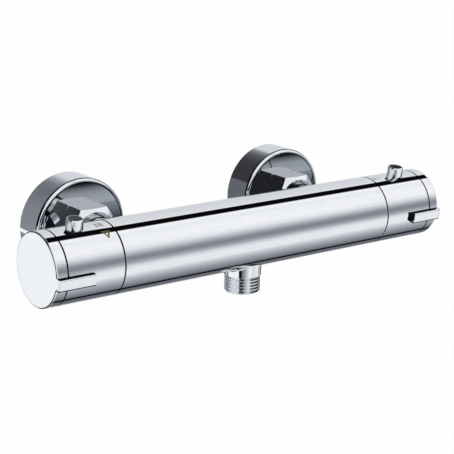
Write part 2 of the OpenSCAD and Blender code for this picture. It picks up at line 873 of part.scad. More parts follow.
// Ring that the handle turns, moved along by its thread: cup, stud and two keys
module set_point_screw() {
    color(brass) at_left() {
        difference() {
            union() {
                rod_x(cup_inner, cup_outer, cup_r);
                translate([head_inner + edge_chamfer, -cup_r - key_rise, -key_w / 2])
                    cube([cup_outer - head_inner - edge_chamfer, (cup_r + key_rise) * 2, key_w]);
            }
            rod_x(cup_inner + cup_lip_t, cup_outer - cup_floor_t, cup_r - cup_wall);
            rod_x(cup_inner - overrun, cup_inner + cup_lip_t + overrun, cup_hole_r);
        }
        rod_x(cup_outer, cup_outer + stud_l, stud_r);
    }
}

// Plate that takes the wax pin's push
module overtravel_plate() {
    color(steel) at_left() rod_x(plate_outer - plate_t, plate_outer, cup_r - cup_wall - free_clear);
}

// Spring that gives way when the wax grows further than the piston can travel
module overtravel_spring() {
    from = plate_outer + run_clear;
    color(steel) at_left() translate([from, 0, 0]) rotate([0, 90, 0])
        coil_spring(overtravel_wire, overtravel_mean_r,
                    cup_outer - cup_floor_t - run_clear - from, overtravel_turns);
}

// Wax capsule with its flange, bulb and the guide for the pin
module wax_element() {
    color(brass) at_left() difference() {
        union() {
            rod_x(guide_inner, guide_outer, guide_r);
            rod_x(wax_flange_inner, guide_inner, wax_flange_r);
            rod_x(wax_flange_inner - bulb_l, wax_flange_inner, bulb_r);
        }
        rod_x(pin_inner - stroke - free_clear, guide_outer + overrun, pin_r + run_clear);
    }
}

// Pin that the wax pushes out
module wax_pin() {
    color(steel) at_left() rod_x(pin_inner, pin_outer, pin_r);
}

// Sliding sleeve whose ports open the hot windows as they close the cold ones
module regulating_piston() {
    hole_place_r = (guide_r + piston_in_r) / 2;
    web_outer_x = guide_inner + piston_web_t;
    color(valve_plastic) at_left() difference() {
        union() {
            ring_x(piston_inner, piston_outer, piston_r, piston_in_r);
            rod_x(guide_inner, web_outer_x, piston_in_r + piston_wall / 2);
        }
        rod_x(guide_inner - overrun, web_outer_x + overrun, guide_r + run_clear);
        for (i = [0 : piston_port_count - 1])
            rotate([360 * i / piston_port_count, 0, 0]) {
                translate([piston_port_inner, -piston_port_w / 2, return_mean_r])
                    cube([piston_port_l, piston_port_w, piston_r]);
                rotate([180 / piston_port_count, 0, 0]) translate([0, 0, hole_place_r])
                    rod_x(guide_inner - overrun, web_outer_x + overrun, piston_hole_r);
            }
    }
}

// Spring that carries the piston back as the wax shrinks
module return_spring() {
    from = sleeve_floor + run_clear;
    color(steel) at_left() translate([from, 0, 0]) rotate([0, 90, 0])
        coil_spring(return_wire, return_mean_r, guide_inner - run_clear - from, return_turns);
}

// Splined end of a spindle with the hole for the handle's screw
module spindle_end(from) {
    difference() {
        rotate([handle_turn, 0, 0]) translate([from - join_lap, 0, 0]) rotate([0, 90, 0])
            linear_extrude(height = spindle_outer - from + join_lap) spline_outline(0);
        rod_x(spindle_outer - screw_hole_l, spindle_outer + overrun, screw_r + run_clear);
    }
}

// Spindle with the threaded barrel that moves the set-point screw
module temperature_spindle() {
    color(brass) at_left() {
        difference() {
            union() {
                rod_x(barrel_inner, barrel_outer, barrel_r);
                rod_x(barrel_outer, spline_inner, spindle_r);
            }
            rod_x(barrel_inner - overrun, barrel_inner + barrel_bore_l, stud_r + run_clear);
            groove_x(spindle_groove_x, small_groove_w, spindle_r, spindle_r - small_oring_section);
        }
        spindle_end(spline_inner);
    }
}

module temperature_spindle_oring() {
    color(rubber) at_left()
        oring_x(spindle_groove_x, spindle_r - small_oring_section, spindle_r + run_clear);
}

// Nut that holds the thermostat in the casting
module thermostat_nut() {
    color(brass) at_left() difference() {
        union() {
            rod_x(nut_inner, casting_end, nut_thread_r - run_clear);
            hex_x(casting_end, casting_end + hex_head_l, hex_head_flats);
        }
        rod_x(nut_inner - overrun, casting_end + hex_head_l + overrun, collar_r + seat_clear);
    }
}

// Guide ring on the neck, with the tooth that stops the button's foot
module stop_ring(tooth_from) {
    difference() {
        union() {
            rod_x(stop_disc_inner, stop_disc_outer, sleeve_in_r - slide_clear);
            rod_x(stop_disc_inner, neck_outer, stop_hub_r);
            rotate([tooth_from, 0, 0]) translate([stop_disc_outer - overrun, 0, 0]) rotate([0, 90, 0])
                rotate([0, 0, 180]) rotate_extrude(angle = tooth_angle)
                    translate([tooth_in_r, 0])
                        square([tooth_out_r - tooth_in_r, tooth_reach + overrun]);
        }
        rotate([-handle_turn, 0, 0])
            flat_neck(stop_disc_inner - overrun, neck_outer + overrun, seat_clear);
    }
}

module temperature_stop_ring() {
    color(insert_plastic) at_handle(-1) stop_ring(tooth_start_angle);
}

module flow_stop_ring() {
    color(insert_plastic) at_handle(1) stop_ring(-eco_angle - tooth_start_angle - tooth_angle);
}

// Splined insert between a spindle and its handle, with a key on top
module spline_insert() {
    difference() {
        union() {
            rod_x(insert_inner, web_inner - seat_clear, insert_r);
            translate([insert_inner, -key_slot_w / 2, 0]) mirror([0, 0, 1])
                cube([web_inner - seat_clear - insert_inner, key_slot_w, insert_r + key_slot_rise]);
        }
        translate([insert_inner - overrun, 0, 0]) rotate([0, 90, 0])
            linear_extrude(height = web_inner - insert_inner + overrun * 2)
                spline_outline(seat_clear);
    }
}

module temperature_spline_insert() {
    color(insert_plastic) at_handle(-1) spline_insert();
}

module flow_spline_insert() {
    color(insert_plastic) at_handle(1) spline_insert();
}

// Handle sleeve with its web and hub, and the hole for the stop button
module handle() {
    difference() {
        union() {
            difference() {
                chamfered_rod_x(handle_inner, handle_outer, bar_r, edge_chamfer);
                rod_x(handle_inner - overrun, handle_outer + overrun, sleeve_in_r);
            }
            rod_x(hub_inner, (web_inner + web_outer) / 2, hub_r);
            rod_x(web_inner, web_outer, sleeve_in_r + sleeve_wall / 2);
        }
        rod_x(hub_inner - overrun, web_inner, insert_r + run_clear);
        translate([hub_inner - overrun, -key_slot_w / 2 - seat_clear, 0]) mirror([0, 0, 1])
            cube([web_inner - hub_inner + overrun, key_slot_w + seat_clear * 2,
                  insert_r + key_slot_rise + seat_clear]);
        rod_x(web_inner - overrun, web_outer + overrun, screw_r + seat_clear);
        translate([button_x, 0, 0]) {
            rod_z(sleeve_in_r - sleeve_wall, bar_r + overrun, button_r + slide_clear);
            rod_z(0, hub_r + overrun, stem_r + run_clear);
            rod_z(spring_seat, hub_r + overrun, spring_pocket_r);
        }
    }
}

module temperature_handle() {
    color(chrome) at_handle(-1) handle();
}

module flow_handle() {
    color(chrome) at_handle(1) handle();
}

// End cap with its spigot and the lever that lies along the sleeve
module end_cap() {
    difference() {
        union() {
            translate([cap_inner, 0, 0]) rotate([0, 90, 0]) rotate_extrude()
                corner_rounded(bar_r, cap_w, cap_rim_r);
            rod_x(cap_inner - cap_spigot_l, cap_inner + overrun, sleeve_in_r - seat_clear);
            lever();
        }
        rod_x(cap_inner - cap_spigot_l - overrun, cap_inner, sleeve_in_r - seat_clear - cap_spigot_wall);
        rod_x(cap_inner - overrun, cap_outer - cap_floor_t, cap_inner_r);
    }
}

// Lever: a bar on the front of the end cap with rounded edges, just clear of the sleeve
module lever() {
    lever_face = bar_r + lever_rise;
    lever_root = bar_r - cap_floor_t;
    difference() {
        intersection() {
            translate([cap_outer - lever_l, 0, 0]) rotate([90, 0, 90])
                linear_extrude(height = lever_l) lever_section(lever_face, lever_root);
            translate([cap_outer - lever_l, -lever_root, -lever_w]) mirror([0, 1, 0])
                linear_extrude(height = lever_w * 2)
                    corner_rounded(lever_l, lever_face - lever_root, lever_end_r);
        }
        rod_x(cap_outer - lever_l - overrun, cap_inner, bar_r + lever_lift);
    }
}

// Lever's section across the bar, with its front towards -Y
module lever_section(face, root) {
    half_w = lever_w / 2;
    translate([-face, -half_w + lever_edge_r]) square([face - root, lever_w - lever_edge_r * 2]);
    translate([-face + lever_edge_r, -half_w]) square([face - root - lever_edge_r, lever_w]);
    for (side = [-1, 1])
        translate([-face + lever_edge_r, side * (half_w - lever_edge_r)]) circle(r = lever_edge_r);
}

module temperature_end_cap() {
    color(chrome) at_handle(-1) end_cap();
}

module flow_end_cap() {
    color(chrome) at_handle(1) end_cap();
}

// Socket screw that holds a handle on its spindle
module handle_screw() {
    difference() {
        union() {
            rod_x(spindle_outer - screw_grip_l, web_outer, screw_r);
            rod_x(web_outer, web_outer + screw_head_l, screw_head_r);
        }
        hex_x(web_outer + screw_head_l - screw_hex_depth, web_outer + screw_head_l + overrun,
              screw_hex_flats);
    }
}

module temperature_handle_screw() {
    color(steel) at_handle(-1) handle_screw();
}

module flow_handle_screw() {
    color(steel) at_handle(1) handle_screw();
}

// Stop button with its flange under the sleeve, its guided stem and the foot
module stop_button() {
    translate([button_x, 0, 0]) {
        rotate_extrude() polygon([
            [0, stem_low], [stem_r, stem_low], [stem_r, button_flange_low],
            [button_flange_r, button_flange_low], [button_flange_r, button_flange_top],
            [button_r, button_flange_top], [button_r, button_top - button_chamfer],
            [button_r - button_chamfer, button_top], [0, button_top]
        ]);
        translate([-foot_reach, -foot_w / 2, button_flange_low])
            cube([foot_reach, foot_w, button_flange_t]);
    }
}

module temperature_button() {
    color(chrome) at_handle(-1) stop_button();
}

module flow_button() {
    color(chrome) at_handle(1) stop_button();
}

// Spring under a stop button
module stop_button_spring() {
    translate([button_x, 0, spring_seat + run_clear])
        coil_spring(button_wire, button_spring_r,
                    button_flange_low - spring_seat - run_clear * 2, button_turns);
}

module temperature_button_spring() {
    color(steel) at_handle(-1) stop_button_spring();
}

module flow_button_spring() {
    color(steel) at_handle(1) stop_button_spring();
}

// Housing of the flow headwork: tube with windows, sealing land, thread, hexagon and neck
module headwork_housing() {
    color(brass) on_bar() difference() {
        union() {
            rod_x(housing_inner, housing_land_inner, housing_r);
            rod_x(housing_land_inner, casting_end, land_r);
            hex_x(casting_end, casting_end + hex_head_l, hex_head_flats);
            rod_x(casting_end + hex_head_l, stop_disc_inner, neck_r);
            flat_neck(stop_disc_inner, neck_outer, 0);
        }
        rod_x(housing_inner - overrun, headwork_cavity_outer, housing_in_r);
        rod_x(housing_inner, neck_outer + overrun, spindle_r + run_clear);
        for (i = [0 : window_count - 1])
            rotate([360 * i / window_count, 0, 0])
                translate([(driver_outer + thrust_inner) / 2, 0, 0])
                    rod_z(0, housing_r + overrun, window_r);
        groove_x(land_groove_x, groove_w, land_r, land_r - oring_section);
    }
}

module headwork_oring() {
    color(rubber) on_bar() oring_x(land_groove_x, land_r - oring_section, headwork_bore_r);
}

// Rubber seal between the fixed disc and its seat
module headwork_seal() {
    color(rubber) on_bar() ring_x(seat_x, seat_x + seal_t, disc_r, seal_in_r);
}

// Two sector-shaped ports
module disc_ports(height) {
    far_x = disc_r * 2 * cos(disc_port_angle / 2);
    far_y = disc_r * 2 * sin(disc_port_angle / 2);
    linear_extrude(height = height) intersection() {
        difference() {
            circle(r = disc_port_out_r);
            circle(r = disc_port_in_r);
        }
        for (side = [-1, 1])
            polygon([[0, 0], [side * far_x, -far_y], [side * far_x, far_y]]);
    }
}

// Ceramic disc along X with two ports, turned about the bar's axis
module ceramic_disc(from, t, turn) {
    difference() {
        rod_x(from, from + t, disc_r);
        rotate([turn, 0, 0]) translate([from - overrun, 0, 0]) rotate([0, 90, 0])
            disc_ports(t + overrun * 2);
    }
}

module fixed_ceramic_disc() {
    color(ceramic) on_bar() ceramic_disc(fixed_inner, fixed_disc_t, 0);
}

// Disc that the spindle's tongue turns; closed at rest
module moving_ceramic_disc() {
    color(ceramic) on_bar() difference() {
        ceramic_disc(moving_inner, moving_disc_t, 90);
        translate([driver_inner - tongue_t - seat_clear, -tongue_w / 2 - seat_clear,
                   -tongue_l / 2 - seat_clear])
            cube([tongue_t + seat_clear + overrun, tongue_w + seat_clear * 2,
                  tongue_l + seat_clear * 2]);
    }
}

// Spindle with the tongue, the driver plate and the thrust collar
module flow_spindle() {
    color(brass) on_bar() {
        difference() {
            union() {
                rod_x(driver_inner, driver_outer, driver_r);
                rod_x(driver_outer, spline_inner, spindle_r);
                rod_x(thrust_inner, thrust_outer, thrust_r);
                translate([driver_inner - tongue_t, -tongue_w / 2, -tongue_l / 2])
                    cube([tongue_t + driver_t / 2, tongue_w, tongue_l]);
            }
            rotate([90, 0, 0]) translate([driver_inner - overrun, 0, 0]) rotate([0, 90, 0])
                disc_ports(driver_t + overrun);
            groove_x(spindle_groove_x, small_groove_w, spindle_r, spindle_r - small_oring_section);
            groove_x(clip_x, clip_t + run_clear, spindle_r, spindle_r - clip_groove_depth);
        }
        spindle_end(spline_inner);
    }
}

module flow_spindle_oring() {
    color(rubber) on_bar()
        oring_x(spindle_groove_x, spindle_r - small_oring_section, spindle_r + run_clear);
}

// Open ring that keeps the flow spindle in its neck
module flow_spindle_clip() {
    color(steel) on_bar() difference() {
        ring_x(clip_x - clip_t / 2, clip_x + clip_t / 2, clip_r,
               spindle_r - clip_groove_depth + run_clear);
        translate([clip_x - clip_t, -clip_gap_w / 2, -clip_r * 2])
            cube([clip_t * 2, clip_gap_w, clip_r * 2]);
    }
}

body_casting();
outlet_nipple();
outlet_oring();
inlet_nipple(-1);  // inlet_nipple_hot
inlet_nipple(1);  // inlet_nipple_cold
inlet_orings();
check_valve_housing(-1);  // check_valve_housing_hot
check_valve_housing(1);  // check_valve_housing_cold
check_valve_poppet(-1);  // check_valve_poppet_hot
check_valve_poppet(1);  // check_valve_poppet_cold
check_valve_spring(-1);  // check_valve_spring_hot
check_valve_spring(1);  // check_valve_spring_cold
strainer(-1);  // strainer_hot
strainer(1);  // strainer_cold
union_washer(-1);  // union_washer_hot
union_washer(1);  // union_washer_cold
union_nut(-1);  // union_nut_hot
union_nut(1);  // union_nut_cold
offset_union(-1);  // offset_union_hot
offset_union(1);  // offset_union_cold
wall_cover(-1);  // wall_cover_hot
wall_cover(1);  // wall_cover_cold
thermostat_sleeve();
thermostat_head();
thermostat_orings();
regulating_piston();
wax_element();
wax_pin();
return_spring();
overtravel_plate();
overtravel_spring();
set_point_screw();
temperature_spindle();
temperature_spindle_oring();
thermostat_nut();
temperature_stop_ring();
temperature_spline_insert();
temperature_handle();
temperature_end_cap();
temperature_handle_screw();
temperature_button();
temperature_button_spring();
headwork_housing();
headwork_oring();
headwork_seal();
fixed_ceramic_disc();
moving_ceramic_disc();
flow_spindle();
flow_spindle_oring();
flow_spindle_clip();
flow_stop_ring();
flow_spline_insert();
flow_handle();
flow_end_cap();
flow_handle_screw();
flow_button();
flow_button_spring();
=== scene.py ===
"""Shower mixer with a thermostatic bar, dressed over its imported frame.

Lengths inside the classes are millimetres in the frame's own axes: X to the right along
the bar, Y into the wall, Z up, with the origin on the wall between the two wall threads.
"""

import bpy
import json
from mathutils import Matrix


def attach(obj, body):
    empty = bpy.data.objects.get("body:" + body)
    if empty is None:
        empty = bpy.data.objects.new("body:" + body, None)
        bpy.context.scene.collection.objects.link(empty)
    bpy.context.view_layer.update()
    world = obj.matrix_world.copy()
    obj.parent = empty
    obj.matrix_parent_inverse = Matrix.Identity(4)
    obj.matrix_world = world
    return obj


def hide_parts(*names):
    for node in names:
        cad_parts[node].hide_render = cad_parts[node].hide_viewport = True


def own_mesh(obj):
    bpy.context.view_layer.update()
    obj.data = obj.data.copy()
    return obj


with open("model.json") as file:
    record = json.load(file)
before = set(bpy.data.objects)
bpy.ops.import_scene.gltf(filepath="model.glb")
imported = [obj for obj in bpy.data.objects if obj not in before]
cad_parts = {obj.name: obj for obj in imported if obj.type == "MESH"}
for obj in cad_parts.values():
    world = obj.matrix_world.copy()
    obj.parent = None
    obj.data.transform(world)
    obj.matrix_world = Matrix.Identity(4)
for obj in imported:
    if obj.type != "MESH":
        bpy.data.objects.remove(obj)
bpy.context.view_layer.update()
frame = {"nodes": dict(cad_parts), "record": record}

import json
import logging
import math
from dataclasses import dataclass
from enum import Enum
from typing import Any, Sequence, Union

import bmesh
import bpy
import numpy as np
from mathutils import Matrix

logging.basicConfig(level=logging.INFO, format="%(message)s")
log = logging.getLogger("shower_mixer")

Tree = bpy.types.NodeTree
Node = bpy.types.Node
Socket = bpy.types.NodeSocket
Material = bpy.types.Material
Object = bpy.types.Object
Source = Union[Node, Socket]
Pair = tuple[float, float]
Triple = tuple[float, float, float]
Stops = tuple[tuple[float, str], ...]

MM = 0.001
# The bar's axis and radius, and the inlets' distance from its middle
BAR_Y = -74.0
BAR_Z = -7.5
BAR_R = 20.6
INLET_X = 75.0
# Radius of a corner or a wire's end that looks sharp
SHARP = 1e-4
# Points of a mesh closer than this are one, and edges shorter than this go, in metres
MERGE_M = 2e-7
THIN_M = 1e-7
# Cosine of a turn that is too small to round
STRAIGHT_COS = 0.99999
WHITE = "#FFFFFF"


class Side(Enum):
    """The two ends of the mixer, by the sign of X."""

    HOT = -1
    COLD = 1

    @property
    def key(self) -> str:
        """The side's name inside the names of pieces and nodes."""
        return self.name.lower()

    @property
    def sets(self) -> str:
        """What the handle at this end sets, inside the names of nodes, bodies and joints."""
        return "temperature" if self is Side.HOT else "flow"


def metres(lengths: Sequence[float]) -> tuple[float, ...]:
    """Turns millimetres into metres."""
    return tuple(length * MM for length in lengths)


def linear(code: str) -> tuple[float, float, float, float]:
    """Turns an sRGB hex colour into linear values.

    Args:
        code: Six hex digits after a hash sign.

    Returns:
        Red, green, blue and an alpha of 1, each by the sRGB curve.
    """
    srgb = np.array([int(code[i:i + 2], 16) for i in (1, 3, 5)]) / 255.0
    flat = np.where(srgb <= 0.04045, srgb / 12.92, ((srgb + 0.055) / 1.055) ** 2.4)
    return (float(flat[0]), float(flat[1]), float(flat[2]), 1.0)


def add(tree: Tree, kind: str, inputs: Any = (), stops: Sequence = (), **settings: Any) -> Node:
    """Adds a node, sets its properties and plain inputs, and links the rest.

    Args:
        tree: The node tree.
        kind: The node's type name, without the word ShaderNode in front.
        inputs: Plain values, sockets, and nodes that stand for their first output in use. They
            come by input name, or else in the order of the inputs in use.
        stops: A colour ramp's positions from 0 to 1, each with its sRGB hex colour.
        settings: Properties of the node itself.

    Returns:
        The new node.
    """
    node = tree.nodes.new("ShaderNode" + kind)
    for name, value in settings.items():
        setattr(node, name, value)
    for _ in stops[2:]:
        node.color_ramp.elements.new(position=0.5)
    for element, (place, code) in zip(node.color_ramp.elements if stops else (), sorted(stops)):
        element.position = place
        element.color = linear(code)
    if not isinstance(inputs, dict):
        inputs = dict(zip([i for i, socket in enumerate(node.inputs) if socket.enabled], inputs))
    for name, value in inputs.items():
        if isinstance(value, Node):
            value = next(socket for socket in value.outputs if socket.enabled)
        if isinstance(value, Socket):
            tree.links.new(value, node.inputs[name])
        else:
            node.inputs[name].default_value = value
    return node


def joined(tree: Tree, operation: str, parts: Sequence[Source]) -> Source:
    """Joins numbers by one operation, one after another.

    Args:
        tree: The node tree.
        operation: A Math node's operation of two numbers.
        parts: One or more nodes or sockets.

    Returns:
        The last node, or the only part.
    """
    whole = parts[0]
    for part in parts[1:]:
        whole = add(tree, "Math", (whole, part), operation=operation)
    return whole


def link(name: str, data: bpy.types.ID) -> Object:
    """Puts data into the scene as an object at the origin.

    Args:
        name: The object's name.
        data: A mesh, curve, lamp or camera.

    Returns:
        The object.
    """
    thing = bpy.data.objects.new(name, data)
    bpy.context.scene.collection.objects.link(thing)
    return thing


# Finishes


class Slot(Enum):
    """The record's material slots."""

    CHROME = "chrome_plate"
    BRASS = "brass"
    STEEL = "stainless_steel"
    RUBBER = "black_rubber"
    CERAMIC = "white_ceramic"
    VALVE = "valve_plastic"
    INSERT = "insert_plastic"


@dataclass(frozen=True)
class Finish:
    """What every finish shares: a colour that drifts between two shades, a roughness that
    wanders between two values, and a relief with a real height."""

    name: str
    slot: Slot
    light: str = WHITE
    shade: str = WHITE
    low: float = 0.3
    high: float = 0.5
    tone_span: Pair = (0.35, 0.65)
    rough_span: Pair = (0.3, 0.7)
    depth_mm: float = 0.01
    strength: float = 1.0

    def start(self) -> tuple[Material, Tree, Socket]:
        """Makes an empty node material.

        Returns:
            The material, its tree and its Object coordinates.
        """
        material = bpy.data.materials.new(self.name)
        material.use_nodes = True
        tree = material.node_tree
        tree.nodes.clear()
        return material, tree, add(tree, "TexCoord").outputs["Object"]

    def grain(self, tree: Tree, place: Socket, size_mm: float, stretch: Triple = (1, 1, 1),
              detail: float = 4.0) -> Node:
        """Adds noise whose grains have a real size.

        Args:
            tree: The node tree.
            place: The coordinates in metres.
            size_mm: Size of one grain.
            stretch: Share of the frequency along each axis.
            detail: Octaves of finer grain.

        Returns:
            The noise node.
        """
        turned = add(tree, "Mapping", {"Vector": place, "Scale": stretch})
        scale = 1.0 / (size_mm * MM)
        return add(tree, "TexNoise", {"Vector": turned, "Scale": scale, "Detail": detail})

    def lined(self, tree: Tree, place: Socket, colour: Node) -> Node:
        """Paints a finish's own dark lines, standing in for shade and reflections, over its colour: none,
        where a finish paints no lines.
        """
        return colour

    def finished(self, tree: Tree, place: Socket, tone: Node, skin: Node, relief: Source,
                 own: dict[str, float]) -> None:
        """Adds the shader with its colour, roughness and relief.

        Args:
            tree: The material's node tree.
            place: The Object coordinates.
            tone: Noise that picks the shade.
            skin: Noise that the roughness follows.
            relief: Height from 0 to 1, of which 1 is depth_mm.
            own: Plain values of the shader by input name.
        """
        darkest, lightest = self.tone_span
        colour = add(tree, "ValToRGB", (tone,), [(darkest, self.shade), (lightest, self.light)])
        rough = add(tree, "MapRange", (skin, *self.rough_span, self.low, self.high))
        height = {"Height": relief, "Distance": self.depth_mm * MM, "Strength": self.strength}
        inputs = {"Base Color": self.lined(tree, place, colour), "Roughness": rough,
                  "Normal": add(tree, "Bump", height)}
        add(tree, "OutputMaterial", {"Surface": add(tree, "BsdfPrincipled", inputs | own)})


@dataclass(frozen=True)
class PolishedChrome(Finish):
    """Bright chromium over nickel on polished brass: a near mirror, faintly blue, with a slow
    waviness from the polishing wheel and a haze of wiping marks that only softens highlights."""

    name: str = "bright_chrome_plating"
    slot: Slot = Slot.CHROME
    light: str = "#F4F6F8"
    shade: str = "#EFF1F4"
    # Dark colour of the painted shade and painted reflections that two finishes below draw as fine lines
    line: str = "#1B1C1F"
    low: float = 0.02
    high: float = 0.03
    depth_mm: float = 0.0012
    haze_mm: float = 1.6
    haze_stretch: Triple = (0.25, 1, 1)
    wave_mm: float = 18.0
    wave_stretch: Triple = (0.4, 1, 1)

    def build(self) -> Material:
        """Builds the plating.

        Returns:
            The material.
        """
        material, tree, place = self.start()
        haze = self.grain(tree, place, self.haze_mm, self.haze_stretch, detail=5)
        waves = self.grain(tree, place, self.wave_mm, self.wave_stretch, detail=1)
        self.finished(tree, place, haze, haze, waves, {"Metallic": 1.0})
        return material

    def radius(self, tree: Tree, place: Source, across: Triple) -> Node:
        """Distance from an axis through the origin: the length of the two parts across it.

        Args:
            tree: The material's node tree.
            place: Coordinates whose origin is on the axis.
            across: 0 along the axis and 1 across it.

        Returns:
            The node that measures it.
        """
        flat = add(tree, "VectorMath", (place, across), operation="MULTIPLY")
        return add(tree, "VectorMath", (flat,), operation="LENGTH")


@dataclass(frozen=True)
class SeamedChrome(PolishedChrome):
    """The same plating on the parts that meet along the bar, with painted shade: the chamfers beside
    the gaps and the caps' outer edges are painted as fine dark lines of shade and dark reflection,
    and a painted shadow runs along the levers' lower edge. Each band is given by its middle and half its
    width."""

    name: str = "bright_chrome_with_dark_seams"
    seams_mm: tuple[Pair, ...] = ((95.2, 0.46), (130.5, 0.46), (137.34, 0.12))
    margin_mm: float = 0.04
    lever_turn_deg: float = 7.5
    lever_line_mm: Pair = (3.2, 0.75)

    def lined(self, tree: Tree, place: Socket, colour: Node) -> Node:
        """Paints shade on each seam, by its distance from the bar's middle. The painted seams stop at
        the bar's radius, so that they don't cross a lever. Outside the radius only a lever's lower edge
        gets a painted shadow, found by the distance below the lever's middle plane.

        Args:
            tree: The material's node tree.
            place: The Object coordinates.
            colour: The plain colour.

        Returns:
            The colour with its painted lines.
        """
        away = add(tree, "Math", (add(tree, "SeparateXYZ", (place,)),), operation="ABSOLUTE")
        # Painted shade: dark bands on the chamfers beside each gap and on the caps' outer edges
        seams = [add(tree, "Math", (away, *metres(seam)), operation="COMPARE") for seam in self.seams_mm]
        middle = add(tree, "VectorMath", (place, metres((0.0, BAR_Y, BAR_Z))), operation="SUBTRACT")
        radius = self.radius(tree, middle, (0.0, 1.0, 1.0))
        within = add(tree, "Math", (radius, (BAR_R + self.margin_mm) * MM), operation="LESS_THAN")
        seam_shade = joined(tree, "MULTIPLY", (joined(tree, "MAXIMUM", seams), within))
        # Painted shadow: a dark band along each lever's lower edge
        turn = math.radians(self.lever_turn_deg)
        down = (0.0, math.sin(turn), -math.cos(turn))
        below = add(tree, "VectorMath", (middle, down), operation="DOT_PRODUCT")
        edge = add(tree, "Math", (below, *metres(self.lever_line_mm)), operation="COMPARE")
        lever_shadow = add(tree, "Math", (edge, within), operation="GREATER_THAN")
        share = joined(tree, "MAXIMUM", (seam_shade, lever_shadow))
        return add(tree, "Mix", (share, colour, linear(self.line)), data_type="RGBA")


@dataclass(frozen=True)
class RimmedChrome(PolishedChrome):
    """The same plating on the wall covers, with painted reflections: the two edges of the front's
    round are painted as fine dark lines on both sides of a bright ring, for the dark that they
    mirror. Each band is given by its middle and half its width."""

    name: str = "bright_chrome_with_dark_rims"
    side_line_mm: Pair = (-17.4, 0.42)
    face_line_mm: Pair = (27.3, 0.34)
    side_r_mm: float = 28.6

    def lined(self, tree: Tree, place: Socket, colour: Node) -> Node:
        """Paints two dark rings of reflection: one by its depth from the wall, outside side_r_mm, and
        one by its radius about the inlet's axis.

        Args:
            tree: The material's node tree.
            place: The Object coordinates.
            colour: The plain colour.

        Returns:
            The colour with its lines.
        """
        level = add(tree, "VectorMath", (place, metres((0.0, 0.0, BAR_Z))), operation="SUBTRACT")
        folded = add(tree, "VectorMath", (level,), operation="ABSOLUTE")
        middle = add(tree, "VectorMath", (folded, metres((INLET_X, 0.0, 0.0))), operation="SUBTRACT")
        radius = self.radius(tree, middle, (1.0, 0.0, 1.0))
        depth = add(tree, "SeparateXYZ", (place,)).outputs["Y"]
        # Painted reflection: a dark ring round the cover's side and one on its front
        side = add(tree, "Math", (depth, *metres(self.side_line_mm)), operation="COMPARE")
        outside = add(tree, "Math", (radius, self.side_r_mm * MM), operation="GREATER_THAN")
        face = add(tree, "Math", (radius, *metres(self.face_line_mm)), operation="COMPARE")
        share = joined(tree, "MAXIMUM", (joined(tree, "MULTIPLY", (side, outside)), face))
        return add(tree, "Mix", (share, colour, linear(self.line)), data_type="RGBA")


@dataclass(frozen=True)
class TurnedBrass(Finish):
    """Free-cutting brass as it leaves the lathe: warm yellow, with fine tool marks 0.12 mm apart,
    drawn 1.2 mm apart so that they show, and a little darker where it has tarnished."""

    name: str = "turned_brass"
    slot: Slot = Slot.BRASS
    light: str = "#DDBF78"
    shade: str = "#B8924C"
    low: float = 0.2
    high: float = 0.34
    tone_span: Pair = (0.3, 0.7)
    depth_mm: float = 0.004
    strength: float = 0.6
    stain_mm: float = 6.0
    mark_mm: float = 1.2
    band_rate: float = 10.0
    wander: float = 0.4

    def build(self) -> Material:
        """Builds the brass. Along each axis, Blender's diagonal bands turn by the scale times
        band_rate radians in each metre.

        Returns:
            The material.
        """
        material, tree, place = self.start()
        stain = self.grain(tree, place, self.stain_mm)
        scale = 2 * math.pi / (self.band_rate * self.mark_mm * MM)
        marks = add(tree, "TexWave", {"Vector": place, "Scale": scale, "Distortion": self.wander},
                    wave_type="BANDS", bands_direction="DIAGONAL")
        self.finished(tree, place, stain, stain, marks.outputs["Fac"], {"Metallic": 1.0})
        return material


@dataclass(frozen=True)
class DrawnSteel(Finish):
    """Drawn stainless wire and strip: grey and bright, with fine draw lines."""

    name: str = "drawn_stainless_steel"
    slot: Slot = Slot.STEEL
    light: str = "#D4D6D8"
    shade: str = "#A9ACB0"
    low: float = 0.18
    high: float = 0.36
    tone_span: Pair = (0.3, 0.7)
    depth_mm: float = 0.005
    strength: float = 0.5
    draw_mm: float = 0.25
    draw_stretch: Triple = (0.1, 1, 1)

    def build(self) -> Material:
        """Builds the steel.

        Returns:
            The material.
        """
        material, tree, place = self.start()
        lines = self.grain(tree, place, self.draw_mm, self.draw_stretch)
        self.finished(tree, place, lines, lines, lines, {"Metallic": 1.0})
        return material


@dataclass(frozen=True)
class MouldedMatter(Finish):
    """A moulded or fired part that isn't metal: one body colour with small drifts, a fine skin
    grain of a stated size, and the gloss of its own kind."""

    strength: float = 0.7
    drift_mm: float = 5.0
    grain_mm: float = 0.3
    ior: float = 1.5
    gloss: float = 0.5

    def build(self) -> Material:
        """Builds the matter.

        Returns:
            The material.
        """
        material, tree, place = self.start()
        drift = self.grain(tree, place, self.drift_mm)
        skin = self.grain(tree, place, self.grain_mm, detail=3)
        self.finished(tree, place, drift, skin, skin, {"IOR": self.ior, "Specular IOR Level": self.gloss})
        return material


FINISHES: tuple[Finish, ...] = (
    PolishedChrome(),
    TurnedBrass(),
    DrawnSteel(),
    # EPDM seals: near black, matte, with a faint bloom
    MouldedMatter("moulded_epdm_rubber", Slot.RUBBER, "#26272A", "#18191B", 0.55, 0.75,
                  grain_mm=0.2, depth_mm=0.012, ior=1.52),
    # Lapped alumina: warm white and dense, glossy where the discs slide
    MouldedMatter("lapped_alumina", Slot.CERAMIC, "#F1EFE6", "#E7E4D8", 0.12, 0.22,
                  grain_mm=0.15, depth_mm=0.002, ior=1.76),
    # Acetal: cool white and waxy
    MouldedMatter("moulded_acetal", Slot.VALVE, "#EDEEEC", "#E2E3E1", 0.32, 0.45,
                  grain_mm=0.4, depth_mm=0.006, ior=1.48),
    # Glass-filled nylon: grey with a dull skin
    MouldedMatter("glass_filled_nylon", Slot.INSERT, "#A9ABAE", "#96989C", 0.42, 0.6,
                  grain_mm=0.25, depth_mm=0.012, ior=1.53),
)
